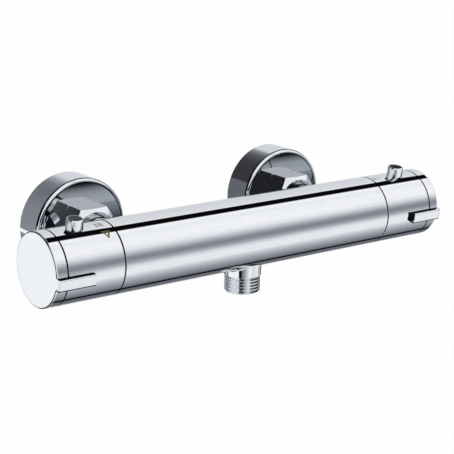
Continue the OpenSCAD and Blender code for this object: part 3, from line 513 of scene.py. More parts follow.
# Ink and paint lie in films too thin for a grain of their own, so theirs is very fine
MARK_INK = MouldedMatter("grey_marking_ink", Slot.INSERT, "#77797D", "#64666A", 0.45, 0.6,
                         grain_mm=0.08, depth_mm=0.002)
MARK_PAINT = MouldedMatter("olive_marking_paint", Slot.INSERT, "#5E5B2A", "#47451E", 0.4, 0.55,
                           grain_mm=0.08, depth_mm=0.003)
# Painted reflection: a near-black film on the button's top, standing in for the dark that the top mirrors;
# it gives back little even at a low angle
PAINTED_BUTTON_REFLECTION = MouldedMatter("black_acrylic_film", Slot.INSERT, "#141417", "#0C0C0E", 0.12, 0.2,
                            grain_mm=0.6, depth_mm=0.0, ior=1.49, gloss=0.03)
# Nodes whose chrome carries painted shade at the seams and a painted shadow under the levers
PAINTED_SEAM_SHADE_NODES = ("body_casting", "temperature_handle", "temperature_end_cap", "flow_handle",
                "flow_end_cap")
# Nodes whose chrome carries painted reflections at the rims
PAINTED_RIM_REFLECTION_NODES = ("wall_cover_hot", "wall_cover_cold")


class Wardrobe:
    """Keeps one material per finish and dresses the CAD nodes by their slot."""

    def __init__(self, record: dict) -> None:
        """Builds every finish.

        Args:
            record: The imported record.
        """
        self.by_slot: dict[str, Material] = {f.slot.value: f.build() for f in FINISHES}
        self.ink: Material = MARK_INK.build()
        self.paint: Material = MARK_PAINT.build()
        # The buttons' near-black film, a painted reflection
        self.button_face: Material = PAINTED_BUTTON_REFLECTION.build()
        self.by_node: dict[str, Material] = (dict.fromkeys(PAINTED_SEAM_SHADE_NODES, SeamedChrome().build())
                                             | dict.fromkeys(PAINTED_RIM_REFLECTION_NODES, RimmedChrome().build()))
        self.slots: dict[str, str] = {s["node"]: s["material_slot"] for s in record["subparts"]}

    def dress_node(self, name: str) -> None:
        """Gives a CAD node its own finish where it has one, or else the finish of its slot.

        Args:
            name: The node's name.
        """
        mesh = frame["nodes"][name].data
        mesh.materials.clear()
        mesh.materials.append(self.by_node.get(name) or self.by_slot[self.slots[name]])

    def dress_piece(self, piece: Object, slot: Slot) -> None:
        """Gives a new piece the finish of a slot."""
        piece.data.materials.append(self.by_slot[slot.value])


# Surfaces


def grid_quads(rows: int, columns: int, wrap_rows: bool, wrap_columns: bool) -> np.ndarray:
    """Quads of a grid: corner (i, j) joins (i, j+1), (i+1, j+1) and (i+1, j), modulo the
    wrapped counts.

    Args:
        rows: Points along the first parameter.
        columns: Points along the second parameter.
        wrap_rows: Whether the last row meets the first.
        wrap_columns: Whether the last column meets the first.

    Returns:
        An array of four indices per quad.
    """
    last_row, last_column = rows - (not wrap_rows), columns - (not wrap_columns)
    i, j = np.meshgrid(np.arange(last_row), np.arange(last_column), indexing="ij")
    up, right = (i + 1) % rows, (j + 1) % columns
    corners = [i * columns + j, i * columns + right, up * columns + right, up * columns + j]
    return np.stack(corners, -1).reshape(-1, 4)


def surface(name: str, *grids: np.ndarray, wrap: tuple[bool, bool] = (True, True),
            sharp_deg: float = 38.0) -> Object:
    """Makes one object of one or more grids of points.

    Args:
        name: The piece's name.
        grids: Points as (rows, columns, 3), in millimetres.
        wrap: Whether the rows and the columns of each grid close on themselves.
        sharp_deg: Angle past which an edge stays sharp.

    Returns:
        The object, at the origin and with its faces outwards.
    """
    quads, first = [], 0
    for grid in grids:
        quads.append(grid_quads(grid.shape[0], grid.shape[1], *wrap) + first)
        first += grid.shape[0] * grid.shape[1]
    faces = np.concatenate(quads)
    points = np.concatenate([grid.reshape(-1, 3) * MM for grid in grids])
    mesh = bpy.data.meshes.new(name)
    mesh.vertices.add(len(points))
    mesh.vertices.foreach_set("co", points.astype(np.float32).ravel())
    mesh.loops.add(faces.size)
    mesh.loops.foreach_set("vertex_index", faces.astype(np.int32).ravel())
    mesh.polygons.add(len(faces))
    mesh.polygons.foreach_set("loop_start", np.arange(0, faces.size, 4, dtype=np.int32))
    mesh.update(calc_edges=True)
    mesh.validate()
    close(mesh)
    mesh.shade_smooth()
    mesh.set_sharp_from_angle(angle=math.radians(sharp_deg))
    return link(name, mesh)


def close(mesh: bpy.types.Mesh) -> None:
    """Merges a mesh's seams and poles, and then turns its faces out.

    Args:
        mesh: The mesh, which is changed.
    """
    work = bmesh.new()
    work.from_mesh(mesh)
    bmesh.ops.remove_doubles(work, verts=work.verts, dist=MERGE_M)
    bmesh.ops.dissolve_degenerate(work, edges=work.edges, dist=THIN_M)
    bmesh.ops.recalc_face_normals(work, faces=work.faces)
    work.to_mesh(mesh)
    work.free()


def circle(count: int) -> np.ndarray:
    """Angles evenly spaced round a circle, the first at 0 and none doubled."""
    return np.arange(count) * 2 * np.pi / count


def arcs(first: np.ndarray, last: np.ndarray, turn: np.ndarray, steps: int) -> np.ndarray:
    """Arcs from one vector to another of the same length, about their common centre:
    (sin((1 - t) turn) * first + sin(t turn) * last) / sin(turn), for t from 0 to 1.

    Args:
        first: Vectors as (n, dimensions).
        last: Vectors as (n, dimensions).
        turn: The angle between each two, as (n, 1).
        steps: Points on each arc.

    Returns:
        Points as (n, steps, dimensions).
    """
    t = np.linspace(0, 1, steps)[None, :, None]
    angle = turn[:, :, None]
    return (np.sin((1 - t) * angle) * first[:, None] + np.sin(t * angle) * last[:, None]) / np.sin(angle)


def rounded(corners: Sequence[Triple], steps: int = 6) -> np.ndarray:
    """Closed outline with rounded corners. Each corner becomes the arc of its radius that is
    tangent to both its sides: the arc's ends lie radius * tan(turn / 2) from the corner, and its
    points are blended between them about the arc's centre.

    Args:
        corners: Two coordinates and a radius for each corner.
        steps: Points on each arc.

    Returns:
        Points as (n, 2), in order.
    """
    data = np.array(corners, float)
    here, radius = data[:, :2], np.maximum(data[:, 2:], SHARP)
    into, out = here - np.roll(here, 1, 0), np.roll(here, -1, 0) - here
    into /= np.linalg.norm(into, axis=1, keepdims=True)
    out /= np.linalg.norm(out, axis=1, keepdims=True)
    turn = np.arccos(np.clip((into * out).sum(1, keepdims=True), -1, STRAIGHT_COS))
    side = out - into
    side /= np.linalg.norm(side, axis=1, keepdims=True)
    centre = here + side * radius / np.cos(turn / 2)
    reach = radius * np.tan(turn / 2)
    arc = arcs(here - into * reach - centre, here + out * reach - centre, turn, steps)
    return (centre[:, None] + arc).reshape(-1, 2)


def lathe(profile: np.ndarray, axis: str, centre: Triple, segments: int = 128) -> np.ndarray:
    """Turns a closed outline round an axis: the point (a, r) goes to a along the axis and to
    r * (cos u, sin u) across it.

    Args:
        profile: Points as (n, 2): place along the axis, and radius.
        axis: "y" or "z".
        centre: A point on the axis.
        segments: Steps round.

    Returns:
        Points as (n, segments, 3); both directions wrap.
    """
    u = circle(segments)
    along = np.broadcast_to(profile[:, :1], (len(profile), segments))
    across = profile[:, 1:] * np.cos(u)[None]
    beside = profile[:, 1:] * np.sin(u)[None]
    order = {"y": (beside, along, across), "z": (across, beside, along)}[axis]
    return np.stack(order, -1) + np.array(centre)


@dataclass(frozen=True)
class Thread:
    """A helical pipe thread. Its phase is the place over the pitch, less the angle's share of a
    turn; the ridge is a trapezium of that phase with its edges softened, and a cone at the free
    end and a run-out by the shoulder cut it down."""

    crest: float
    root: float
    pitch: float = 1.814
    chamfer: float = 0.8
    steepness: float = 2.9
    flat: float = 0.12
    softness: float = 0.35
    run_out: float = 0.6
    run_out_depth: float = 0.9

    def radius(self, rows: np.ndarray, start: float, end: float, segments: int) -> np.ndarray:
        """Radius at each place along the thread and round it.

        Args:
            rows: Places along the axis.
            start: Place where the thread begins, by the shoulder.
            end: Place of the free end.
            segments: Steps round.

        Returns:
            Radii as (rows, segments).
        """
        phase = (rows[:, None] / self.pitch - circle(segments)[None] / (2 * np.pi)) % 1.0
        ridge = np.clip(np.abs(phase - 0.5) * self.steepness - self.flat, 0, 1)
        soft = ridge * ridge * (3 - 2 * ridge)
        share = self.softness * soft + (1 - self.softness) * ridge
        radius = self.root + (self.crest - self.root) * share
        cone = self.crest - np.clip(self.chamfer - np.abs(end - rows), 0, None)[:, None]
        fade = np.clip(1 - np.abs(rows - start) / (self.pitch * self.run_out), 0, 1)[:, None]
        return np.minimum(radius + (self.root - radius) * fade * self.run_out_depth, cone)


@dataclass(frozen=True)
class Coil:
    """A compression spring as one round wire along a helix."""

    axis: str
    low: float
    high: float
    mean_r: float
    wire: float
    turns: float

    @property
    def length(self) -> float:
        """Length of the spring at rest."""
        return self.high - self.low

    def grid(self, centre: Triple, per_turn: int = 40, sides: int = 12) -> np.ndarray:
        """Wire surface: the path climbs by its length over its turns, and each ring lies
        round it in the plane of the radius and the axis. The ends close to a point.

        Args:
            centre: A point on the axis, from which low and high count.
            per_turn: Rings in each turn.
            sides: Points in each ring.

        Returns:
            Points as (rings, sides, 3).
        """
        count = int(self.turns * per_turn) + 1
        u = np.linspace(0, self.turns * 2 * np.pi, count)[:, None]
        v = circle(sides)[None]
        size = np.full((count, 1), self.wire / 2)
        size[[0, -1]] = SHARP
        climb = self.low + self.wire / 2 + (self.length - self.wire) * u / u[-1]
        radius = self.mean_r + size * np.cos(v)
        along = climb + size * np.sin(v)
        a, b = radius * np.cos(u), radius * np.sin(u)
        order = {"x": (along, b, -a), "y": (a, along, b), "z": (a, b, along)}[self.axis]
        return np.stack(np.broadcast_arrays(*order), -1) + np.array(centre)


# Pieces


@dataclass
class Piece:
    """A sub-assembly: its CAD nodes are dressed and its new pieces ride on a body."""

    wardrobe: Wardrobe

    def place(self, piece: Object, body: str, slot: Slot, *nodes: str) -> Object:
        """Dresses a new piece, sets it on its body and hides the nodes that it stands for.

        Args:
            piece: The new object.
            body: The body that it rides on.
            slot: Where its finish comes from.
            nodes: CAD nodes that it replaces.

        Returns:
            The same object.
        """
        self.wardrobe.dress_piece(piece, slot)
        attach(piece, body)
        if nodes:
            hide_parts(*nodes)
        log.info("%s rides on %s", piece.name, body)
        return piece

    def wind(self, name: str, wire: np.ndarray, body: str, node: str) -> Object:
        """Makes a spring of its wire's surface and places it.

        Args:
            name: The piece's name.
            wire: The surface's points, open at the wire's two ends.
            body: The body that it rides on.
            node: The CAD node that it replaces.

        Returns:
            The spring.
        """
        return self.place(surface(name, wire, wrap=(False, True)), body, Slot.STEEL, node)

    def flatten(self, piece: Object, joint: str, anchor_mm: Sequence[float], length: float) -> None:
        """Gives a spring its own copy of its mesh.

        Args:
            piece: The spring.
            joint: The joint that presses it. Not used.
            anchor_mm: The end that stays, in millimetres. Not used.
            length: Its length at rest. Not used.
        """
        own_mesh(piece)

    def dress(self, *nodes: str) -> None:
        """Dresses CAD nodes that keep their own shape.

        Args:
            nodes: Their names.
        """
        for name in nodes:
            self.wardrobe.dress_node(name)
        log.info("dressed %s", ", ".join(nodes))


@dataclass
class Bar(Piece):
    """The casting, the outlet and the blends where the bosses grow out of the bar."""

    boss_r: float = 12.0
    collar_r: float = 10.8775
    collar_end: float = 24.6
    blend_r: float = 1.1
    blend_tuck: float = 1.25
    blend_segments: int = 160
    blend_steps: int = 9
    blend_sharp_deg: float = 60.0
    shank_r: float = 9.0
    shank_top: float = 14.0
    seat_gap: float = 0.02
    thread: Thread = Thread(10.4775, 9.3155)
    thread_l: float = 10.2
    thread_rows: int = 150
    segments: int = 144
    bore_r: float = 6.5
    hex_half: float = 6.0
    hex_l: float = 8.0
    chamfer: float = 0.4

    def blend(self, name: str, x: float, boss_r: float, down: bool) -> Object:
        """Blend between the bar and a boss: a ball of the blend's radius rolls along both, its
        centre at boss_r + blend_r from the boss's axis and at BAR_R + blend_r from the bar's, and
        the surface is the short arc between the two points that it touches. Inside the solids
        the strip closes over one row of points.

        Args:
            name: The piece's name.
            x: Place of the boss along the bar.
            boss_r: Radius of the boss.
            down: Whether the boss points down and not towards the wall.

        Returns:
            The closed strip.
        """
        u = circle(self.blend_segments)
        reach, deepest = boss_r + self.blend_r, BAR_R + self.blend_r
        side = reach * np.sin(u)
        deep = np.sqrt(deepest ** 2 - side ** 2)
        centre = np.stack([reach * np.cos(u), side, deep], -1)
        to_boss = np.stack([-np.cos(u), -np.sin(u), np.zeros_like(u)], -1)
        to_bar = -np.stack([np.zeros_like(u), side, deep], -1) / deepest
        turn = np.arccos((to_boss * to_bar).sum(-1, keepdims=True))
        skin = centre[:, None] + self.blend_r * arcs(to_boss, to_bar, turn, self.blend_steps)
        inside = centre + self.blend_r * self.blend_tuck * (to_boss + to_bar)
        along, beside, out = np.moveaxis(np.concatenate([skin, inside[:, None]], 1), -1, 0)
        turned = (beside + BAR_Y, BAR_Z - out) if down else (BAR_Y + out, BAR_Z + beside)
        return surface(name, np.stack([along + x, *turned], -1), sharp_deg=self.blend_sharp_deg)

    def hose_nipple(self) -> Object:
        """Outlet nipple with its helical hose thread and the hexagon for its key. Radius is a
        function of the place down the nipple and of the angle round it.

        Returns:
            The nipple.
        """
        u = circle(self.segments)
        flat = np.ones((1, self.segments))
        top, cut = self.shank_top, self.chamfer
        drop = self.collar_end + self.thread_l
        rows = np.linspace(self.collar_end, drop, self.thread_rows)
        sixth = np.pi / 3
        six = np.maximum(self.bore_r, self.hex_half / np.cos((u + sixth / 2) % sixth - sixth / 2))[None]
        z = np.concatenate([
            [top, top + cut, self.collar_end - self.seat_gap], rows,
            [drop, drop - cut, drop - self.hex_l, drop - self.hex_l, top]])
        radius = np.concatenate([
            (self.shank_r - cut) * flat, self.shank_r * flat, self.shank_r * flat,
            self.thread.radius(rows, self.collar_end, drop, self.segments),
            six + cut, six, six, self.bore_r * flat, self.bore_r * flat])
        across = (radius * np.cos(u), BAR_Y + radius * np.sin(u), BAR_Z - z[:, None] * flat)
        return surface("hose_nipple", np.stack(across, -1))

    def build(self) -> None:
        """Builds the bar's pieces."""
        self.dress("body_casting", "outlet_oring", "inlet_orings")
        self.place(self.hose_nipple(), "mixer_body", Slot.CHROME, "outlet_nipple")
        blends = [("outlet_collar_blend", 0.0, self.collar_r, True)]
        blends += [(f"{side.key}_inlet_blend", side.value * INLET_X, self.boss_r, False) for side in Side]
        for blend in blends:
            self.place(self.blend(*blend), "mixer_body", Slot.CHROME)


@dataclass
class Inlet(Piece):
    """One inlet: nipple, check valve, union and wall cover."""

    side: Side = Side.HOT
    face: float = 51.0
    body_front: float = 63.0
    body_back: float = 70.0
    end: float = 90.0
    body_r: float = 15.799
    body_rise: float = 2.3785
    body_gap: float = 0.3
    body_round: float = 0.6
    offset: float = 7.5
    bore_r: float = 8.0
    bore_chamfer: float = 0.5
    overlap: float = 4.0
    nut_thread: Thread = Thread(13.2205, 12.0585)
    wall_thread: Thread = Thread(10.4775, 9.3155)
    rows_per_turn: int = 16
    segments: int = 112
    spring: Coil = Coil("y", 37.25, 45.0, 3.2, 0.5, 5.0)

    @property
    def axis(self) -> Triple:
        """Point on the inlet's axis beside the bar's."""
        return (self.side.value * INLET_X, BAR_Y, BAR_Z)

    def thread_tube(self, thread: Thread, start: float, end: float, rise: float) -> np.ndarray:
        """Threaded tube along Y, closed through its bore: outside along the thread, over the
        end face, and back along the bore into the body.

        Args:
            thread: The thread.
            start: Place of the shoulder.
            end: Place of the free end.
            rise: Height of its axis above the bar's.

        Returns:
            Points as a grid that wraps both ways.
        """
        u = circle(self.segments)
        flat = np.ones((1, self.segments))
        inward = math.copysign(1.0, start - end)
        rows = np.linspace(start, end, int(abs(end - start) / thread.pitch * self.rows_per_turn))
        radius = np.concatenate([
            thread.radius(rows, start, end, self.segments),
            (self.bore_r + self.bore_chamfer) * flat, self.bore_r * flat, self.bore_r * flat])
        bore = [end, end + inward * self.bore_chamfer, start + inward * self.overlap]
        y = np.concatenate([rows, bore])[:, None] * flat
        places = np.stack([radius * np.cos(u), y, rise + radius * np.sin(u)], -1)
        return places + np.array(self.axis)

    def union(self) -> Object:
        """Offset union: a turned body between two helical threads whose axes lie apart.

        Returns:
            The union.
        """
        inner = self.bore_r + self.body_gap
        front, back = self.body_front + BAR_Y, self.body_back + BAR_Y
        rim = rounded([(front, inner, 0), (front, self.body_r, self.body_round),
                       (back, self.body_r, self.body_round), (back, inner, 0)])
        return surface(
            f"{self.side.key}_offset_union",
            lathe(rim, "y", (self.side.value * INLET_X, 0.0, BAR_Z + self.body_rise)),
            self.thread_tube(self.nut_thread, self.body_front, self.face, 0.0),
            self.thread_tube(self.wall_thread, self.body_back, self.end, self.offset))

    def build(self) -> None:
        """Builds one inlet's pieces."""
        key = self.side.key
        self.dress(*(f"{node}_{key}" for node in (
            "inlet_nipple", "check_valve_housing", "check_valve_poppet", "strainer", "union_washer",
            "union_nut", "wall_cover")))
        coil = self.wind(f"{key}_check_spring", self.spring.grid(self.axis), "mixer_body",
                         f"check_valve_spring_{key}")
        x, y, z = self.axis
        self.flatten(coil, f"{key}_check_lift", (x, y + self.spring.low, z), self.spring.length)
        self.place(self.union(), "mixer_body", Slot.BRASS, f"offset_union_{key}")


@dataclass
class Thermostat(Piece):
    """The thermostat in the left end of the bar."""

    # Its free end is short of the piston by the wax's stroke of 0.5 mm
    back: Coil = Coil("x", -63.95, -58.05, 8.0, 1.2, 3.5)
    spare: Coil = Coil("x", -79.5, -75.1, 5.2, 1.3, 2.2)

    def build(self) -> None:
        """Dresses the thermostat and winds its springs."""
        self.dress("thermostat_sleeve", "thermostat_head", "thermostat_orings", "regulating_piston",
                   "wax_element", "wax_pin", "overtravel_plate", "set_point_screw",
                   "temperature_spindle", "temperature_spindle_oring", "thermostat_nut")
        axis = (0.0, BAR_Y, BAR_Z)
        coil = self.wind("return_coil", self.back.grid(axis), "mixer_body", "return_spring")
        self.flatten(coil, "set_point_slide", (self.back.high, BAR_Y, BAR_Z), self.back.length)
        self.wind("overtravel_coil", self.spare.grid(axis), "set_point_screw", "overtravel_spring")


@dataclass
class FlowHeadwork(Piece):
    """The ceramic headwork in the right end of the bar."""

    def build(self) -> None:
        """Dresses the headwork."""
        self.dress("headwork_housing", "headwork_oring", "headwork_seal", "fixed_ceramic_disc",
                   "moving_ceramic_disc", "flow_spindle", "flow_spindle_oring", "flow_spindle_clip")


@dataclass
class Handle(Piece):
    """One handle with its end cap, lever and stop button, and the marks printed on it."""

    side: Side = Side.HOT
    button_x: float = 116.0
    button_top: float = 25.9
    turn_deg: float = 7.5
    spring: Coil = Coil("z", 11.35, 15.88, 2.9, 0.5, 3.5)
    face_r: float = 3.95
    face_t: float = 0.3
    face_proud: float = 0.02
    face_round: float = 0.05
    film_t: float = 0.03
    film_lift: float = 0.004
    film_step: float = 0.5
    film_merge: float = 1e-5
    digits_text: str = "38"
    digits_x: Pair = (-104.8, -99.6)
    digits_at_deg: float = 79.0
    pointer: tuple[Pair, ...] = ()
    pointer_hole: float = 0.42

    @property
    def body(self) -> str:
        """Name of the body that the handle is."""
        return f"{self.side.sets}_handle"

    @property
    def button_axis(self) -> Triple:
        """Point on the bar's axis under the button."""
        return (self.side.value * self.button_x, 0.0, 0.0)

    def wrapped(self, flat: np.ndarray) -> np.ndarray:
        """Lays flat points on the bar: the first coordinate runs along it and the second, an
        arc length, goes to the angle length / radius from the front upwards.

        Args:
            flat: Points as (n, 2), in millimetres.

        Returns:
            Points as (n, 3).
        """
        angle = flat[:, 1] / BAR_R
        r = BAR_R + self.film_lift
        return np.stack([flat[:, 0], BAR_Y - r * np.cos(angle), BAR_Z + r * np.sin(angle)], -1)

    def printed(self, name: str, flat: np.ndarray, faces: list, material: Material) -> None:
        """Prints a flat shape on the bar as a thin closed film. Its long edges are divided, and
        the new points are moved out to the film's radius.

        Args:
            name: The piece's name.
            flat: Points as (n, 2).
            faces: Faces as lists of indices, anticlockwise seen from outside.
            material: Ink or paint.
        """
        mesh = bpy.data.meshes.new(name)
        mesh.from_pydata((self.wrapped(flat) * MM).tolist(), [], faces)
        work = bmesh.new()
        work.from_mesh(mesh)
        bmesh.ops.remove_doubles(work, verts=work.verts, dist=self.film_merge * MM)
        bmesh.ops.triangulate(work, faces=work.faces)
        long = [edge for edge in work.edges if edge.calc_length() > self.film_step * MM]
        bmesh.ops.subdivide_edges(work, edges=long, cuts=2, use_grid_fill=True)
        work.to_mesh(mesh)
        work.free()
        axis = np.array([0.0, BAR_Y, BAR_Z])
        places = np.zeros(len(mesh.vertices) * 3)
        mesh.vertices.foreach_get("co", places)
        places = places.reshape(-1, 3) / MM - axis
        places[:, 1:] *= (BAR_R + self.film_lift) / np.linalg.norm(places[:, 1:], axis=1, keepdims=True)
        mesh.vertices.foreach_set("co", ((places + axis) * MM).ravel())
        piece = link(name, mesh)
        wall = piece.modifiers.new("film", "SOLIDIFY")
        wall.thickness = self.film_t * MM
        wall.offset = 1.0
        mesh.materials.append(material)
        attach(piece, self.body)
        log.info("%s printed", name)

    def print_digits(self) -> None:
        """Takes plain digits from a font curve, makes them a mesh and lays it on the sleeve."""
        curve = bpy.data.curves.new("scale_digits", "FONT")
        curve.body = self.digits_text
        curve.align_x = "CENTER"
        curve.align_y = "CENTER"
        curve.resolution_u = 3
        source = link("scale_digits_source", curve)
        bpy.context.view_layer.update()
        mesh = source.to_mesh()
        flat = np.zeros(len(mesh.vertices) * 3)
        mesh.vertices.foreach_get("co", flat)
        flat = flat.reshape(-1, 3)[:, :2]
        faces = [list(polygon.vertices) for polygon in mesh.polygons]
        source.to_mesh_clear()
        bpy.data.objects.remove(source)
        size = flat.max(0) - flat.min(0)
        low, high = self.digits_x
        flat = (flat - flat.min(0) - size / 2) * (high - low) / size[0]
        flat += np.array([(low + high) / 2, math.radians(self.digits_at_deg) * BAR_R])
        self.printed(f"{self.side.key}_scale_digits", flat, faces, self.wardrobe.ink)

    def print_pointer(self) -> None:
        """Prints the outline of a triangle: the outer corners, and the same corners drawn
        towards their mean."""
        outer = np.array([(x, math.radians(angle) * BAR_R) for x, angle in self.pointer])
        inner = outer.mean(0) + (outer - outer.mean(0)) * self.pointer_hole
        faces = [[i, (i + 1) % 3, (i + 1) % 3 + 3, i + 3] for i in range(3)]
        corners = np.concatenate([outer, inner])
        self.printed(f"{self.side.key}_pointer", corners, faces, self.wardrobe.paint)

    def turned(self, points: np.ndarray) -> np.ndarray:
        """Turns points about the bar's axis with the handle: y cos a - z sin a, y sin a + z cos a.

        Args:
            points: Points as (..., 3), from the bar's axis and with the button straight up.

        Returns:
            The same points in the frame's axes.
        """
        a = math.radians(self.turn_deg)
        x, up, out = points[..., 0], points[..., 2], points[..., 1]
        y = out * math.cos(a) - up * math.sin(a) + BAR_Y
        z = out * math.sin(a) + up * math.cos(a) + BAR_Z
        return np.stack([x, y, z], -1)

    def set_button_face(self) -> None:
        """Lets a black disc into the button's top as a painted dark reflection: a disc turned from its
        outline.
        """
        low, high = self.button_top - self.face_t, self.button_top + self.face_proud
        rim = rounded([(low, 0.0, 0), (low, self.face_r, self.face_round),
                       (high, self.face_r, self.face_round), (high, 0.0, 0)], steps=4)
        rim[:, 1] = np.maximum(rim[:, 1], SHARP)
        disc = self.turned(lathe(rim, "z", self.button_axis, segments=96))
        piece = surface(f"{self.side.key}_button_face", disc)
        piece.data.materials.append(self.wardrobe.button_face)
        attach(piece, f"{self.side.sets}_button")
        log.info("%s set in", piece.name)

    def build(self) -> None:
        """Builds one handle's pieces."""
        key = self.side.sets
        self.dress(*(f"{key}_{node}" for node in (
            "stop_ring", "spline_insert", "handle", "end_cap", "handle_screw", "button")))
        wire = self.turned(self.spring.grid(self.button_axis))
        coil = self.wind(f"{self.side.key}_button_coil", wire, self.body, f"{key}_button_spring")
        foot = self.turned(np.array(self.button_axis) + np.array([0.0, 0.0, self.spring.low]))
        self.flatten(coil, f"{key}_button_press", foot, self.spring.length)
        self.set_button_face()
        self.print_digits()
        if self.pointer:
            self.print_pointer()


# Studio


@dataclass(frozen=True)
class Card:
    """A card that mirrored rays see over the ones before it.

    Its colour is plain, goes by an angle in degrees, or is what the cards inside it show. Its
    share is the product of its edges. Each edge names a part of the ray's direction, the value
    where the share is 0 and the value where it is 1.
    """

    colour: Union[str, Stops] = ""
    edges: tuple[tuple[str, float, float], ...] = ()
    by: str = "compass"
    inside: tuple["Card", ...] = ()


PALE = "#FBFBFD"
NIGHT = "#0E0E12"
# The end cap's card as a circle of directions, and the width of its soft edge
CAP_DEG = 1.7
CAP_EDGE_DEG = 0.15
CAP_RISE = tuple(math.cos(math.radians(angle)) for angle in (CAP_DEG + CAP_EDGE_DEG, CAP_DEG))
# Stops that the two side cards about the level share, and those of the two above them
LEVEL_STOPS: Stops = (
    (-131, "#6A6C72"), (-118, "#8E9198"), (-100, "#C9CBD1"), (-88, "#F2F3F6"), (-72, PALE), (0, PALE),
    (72, "#A2A5AC"), (90, "#84878F"), (118, "#8A8D95"), (131, "#8A8D95"), (135, PALE))
UPPER_STOPS: Stops = (
    (-60, "#F2F3F6"), (-30, "#B4B6BC"), (0, "#8E9198"), (66, "#D0D2D6"), (74, "#A2A5AC"),
    (84, "#7A7D85"), (98, "#6E7178"), (112, "#787B83"), (128, "#8A8D95"))
SIDE_CARDS = (
    # At the level
    Card(((-180, PALE), (-151, PALE), (-142, "#A2A5AC")) + LEVEL_STOPS),
    # Below the level, a dark card beside the camera, for the edges that face it
    Card(((-180, PALE), (-151, PALE), (-148, "#0C0C0F"), (-134, "#0C0C0F")) + LEVEL_STOPS,
         (("z", -0.385, -0.355), ("z", -0.175, -0.205))),
    # Above the level
    Card(((-180, "#C4C7CC"), (-150, "#E6E8EB")) + UPPER_STOPS + ((136, "#8A8D95"), (155, "#9A9DA4")),
         (("z", -0.12, -0.04),)),
    # High up
    Card(((-180, NIGHT), (-164, NIGHT), (-157, "#E6E8EB")) + UPPER_STOPS + ((134, "#8A8D95"), (140, NIGHT)),
         (("z", 0.58, 0.64),)),
    # Low down
    Card(((-180, "#8A8D95"), (-158, "#C4C7CC"), (-135, "#E2E4E8"), (-70, "#F2F3F6"), (-20, "#8E9198"),
          (30, "#D0D2D6"), (84, "#A2A5AC"), (128, "#7A7D85"), (160, "#5C5F66")),
         (("z", -0.42, -0.5),)),
    # High on the left, for the round edges that face that way
    Card(NIGHT, (("slant", 0.87, 0.89), ("y", -0.53, -0.47), ("y", 0.33, 0.27), ("z", -0.02, 0.02),
                 ("z", 0.64, 0.6))),
    # Towards the wall, where the rays from the covers' sides and the nuts' flats all go
    Card(edges=(("y", 0.64, 0.68), ("y", 0.795, 0.78)), inside=(
        Card(((0, "#B4B6BC"), (56, "#C4C6CA"), (68, "#8E9096"), (80, "#5C5C62"), (96, "#444347"),
              (112, "#3A393D"), (134, "#3A393D"), (140, NIGHT))),
        Card("#64686E", (("z", 0.27, 0.24),)))),
    # One bright card where the left end cap looks
    Card("#FAFBFD", (("cap", *CAP_RISE),)),
)
# Strips beside the bar, by the angle round it
BAR_CARDS = (
    Card((
        (-180, "#D9DBDE"), (-159.4, "#F4F5F7"), (-144.4, "#C4C7CC"), (-131.4, "#6E7076"),
        (-110.4, "#6A6C72"), (-106.8, "#0A0A0D"), (-99, "#08080A"), (-97.4, "#6C6F76"),
        (-89.4, "#7F828A"), (-77.4, "#979AA1"), (-64.4, "#B4B6BC"), (-54.4, "#D0D2D6"),
        (-44.4, "#F0F1F4"), (-28.4, "#F2F3F6"), (-20.4, "#E2E4E8"), (-10.4, "#ACAFB6"),
        (-0.4, "#868A92"), (7.6, "#8B8F97"), (16.6, "#B4B7BD"), (29.6, "#E9EAEE"), (41.6, PALE),
        (61.6, "#FCFCFE"), (81.6, "#F3F4F7"), (89.6, WHITE), (94.6, WHITE), (97.1, "#08080A"),
        (115.6, "#08080A"), (118.1, WHITE), (120.6, "#E4E6E9"), (151.6, "#DADCE0")), by="turn"),
    # The strips' far end is dark by the wall, and pale straight along the bar
    Card("#101014", (("x", 0.74, 0.8), ("y", 0.1, 0.18))),
    Card("#B4B6BC", (("x", 0.9, 0.94),)),
)
# The dimmer cards of a ray that two metal faces have passed on
AGAIN_SIDE_CARDS = (
    Card((
        (-180, "#E6E8EB"), (-152, "#E6E8EB"), (-147, "#101013"), (-128, "#1C1D20"), (-121, "#2A2B2F"),
        (-115, "#7A7D84"), (-102, "#B4B6BC"), (-84, "#E6E8EB"), (-30, "#B4B6BC"), (0, "#3A3C40"),
        (40, "#24262A"), (80, "#7C7F86"), (130, "#A6A9B0"), (152, "#E6E8EB"))),
    Card("#141417", (("z", 0.52, 0.6),)),
)
AGAIN_BAR_STOPS: Stops = (
    (-180, "#8E9298"), (-150, "#70747A"), (-105, "#26282C"), (-60, "#34363A"), (-20, "#5A5D63"),
    (8, "#B4B6BC"), (26, "#C0C2C6"), (36, "#101013"), (102, "#101013"), (112, "#2E3034"),
    (122, "#6A6E74"), (140, "#9A9EA6"), (165, "#A8ACB4"))
# How far to the right a ray leans before it sees the strips and not the sides
LEAN = ("x", 0.3, 0.42)


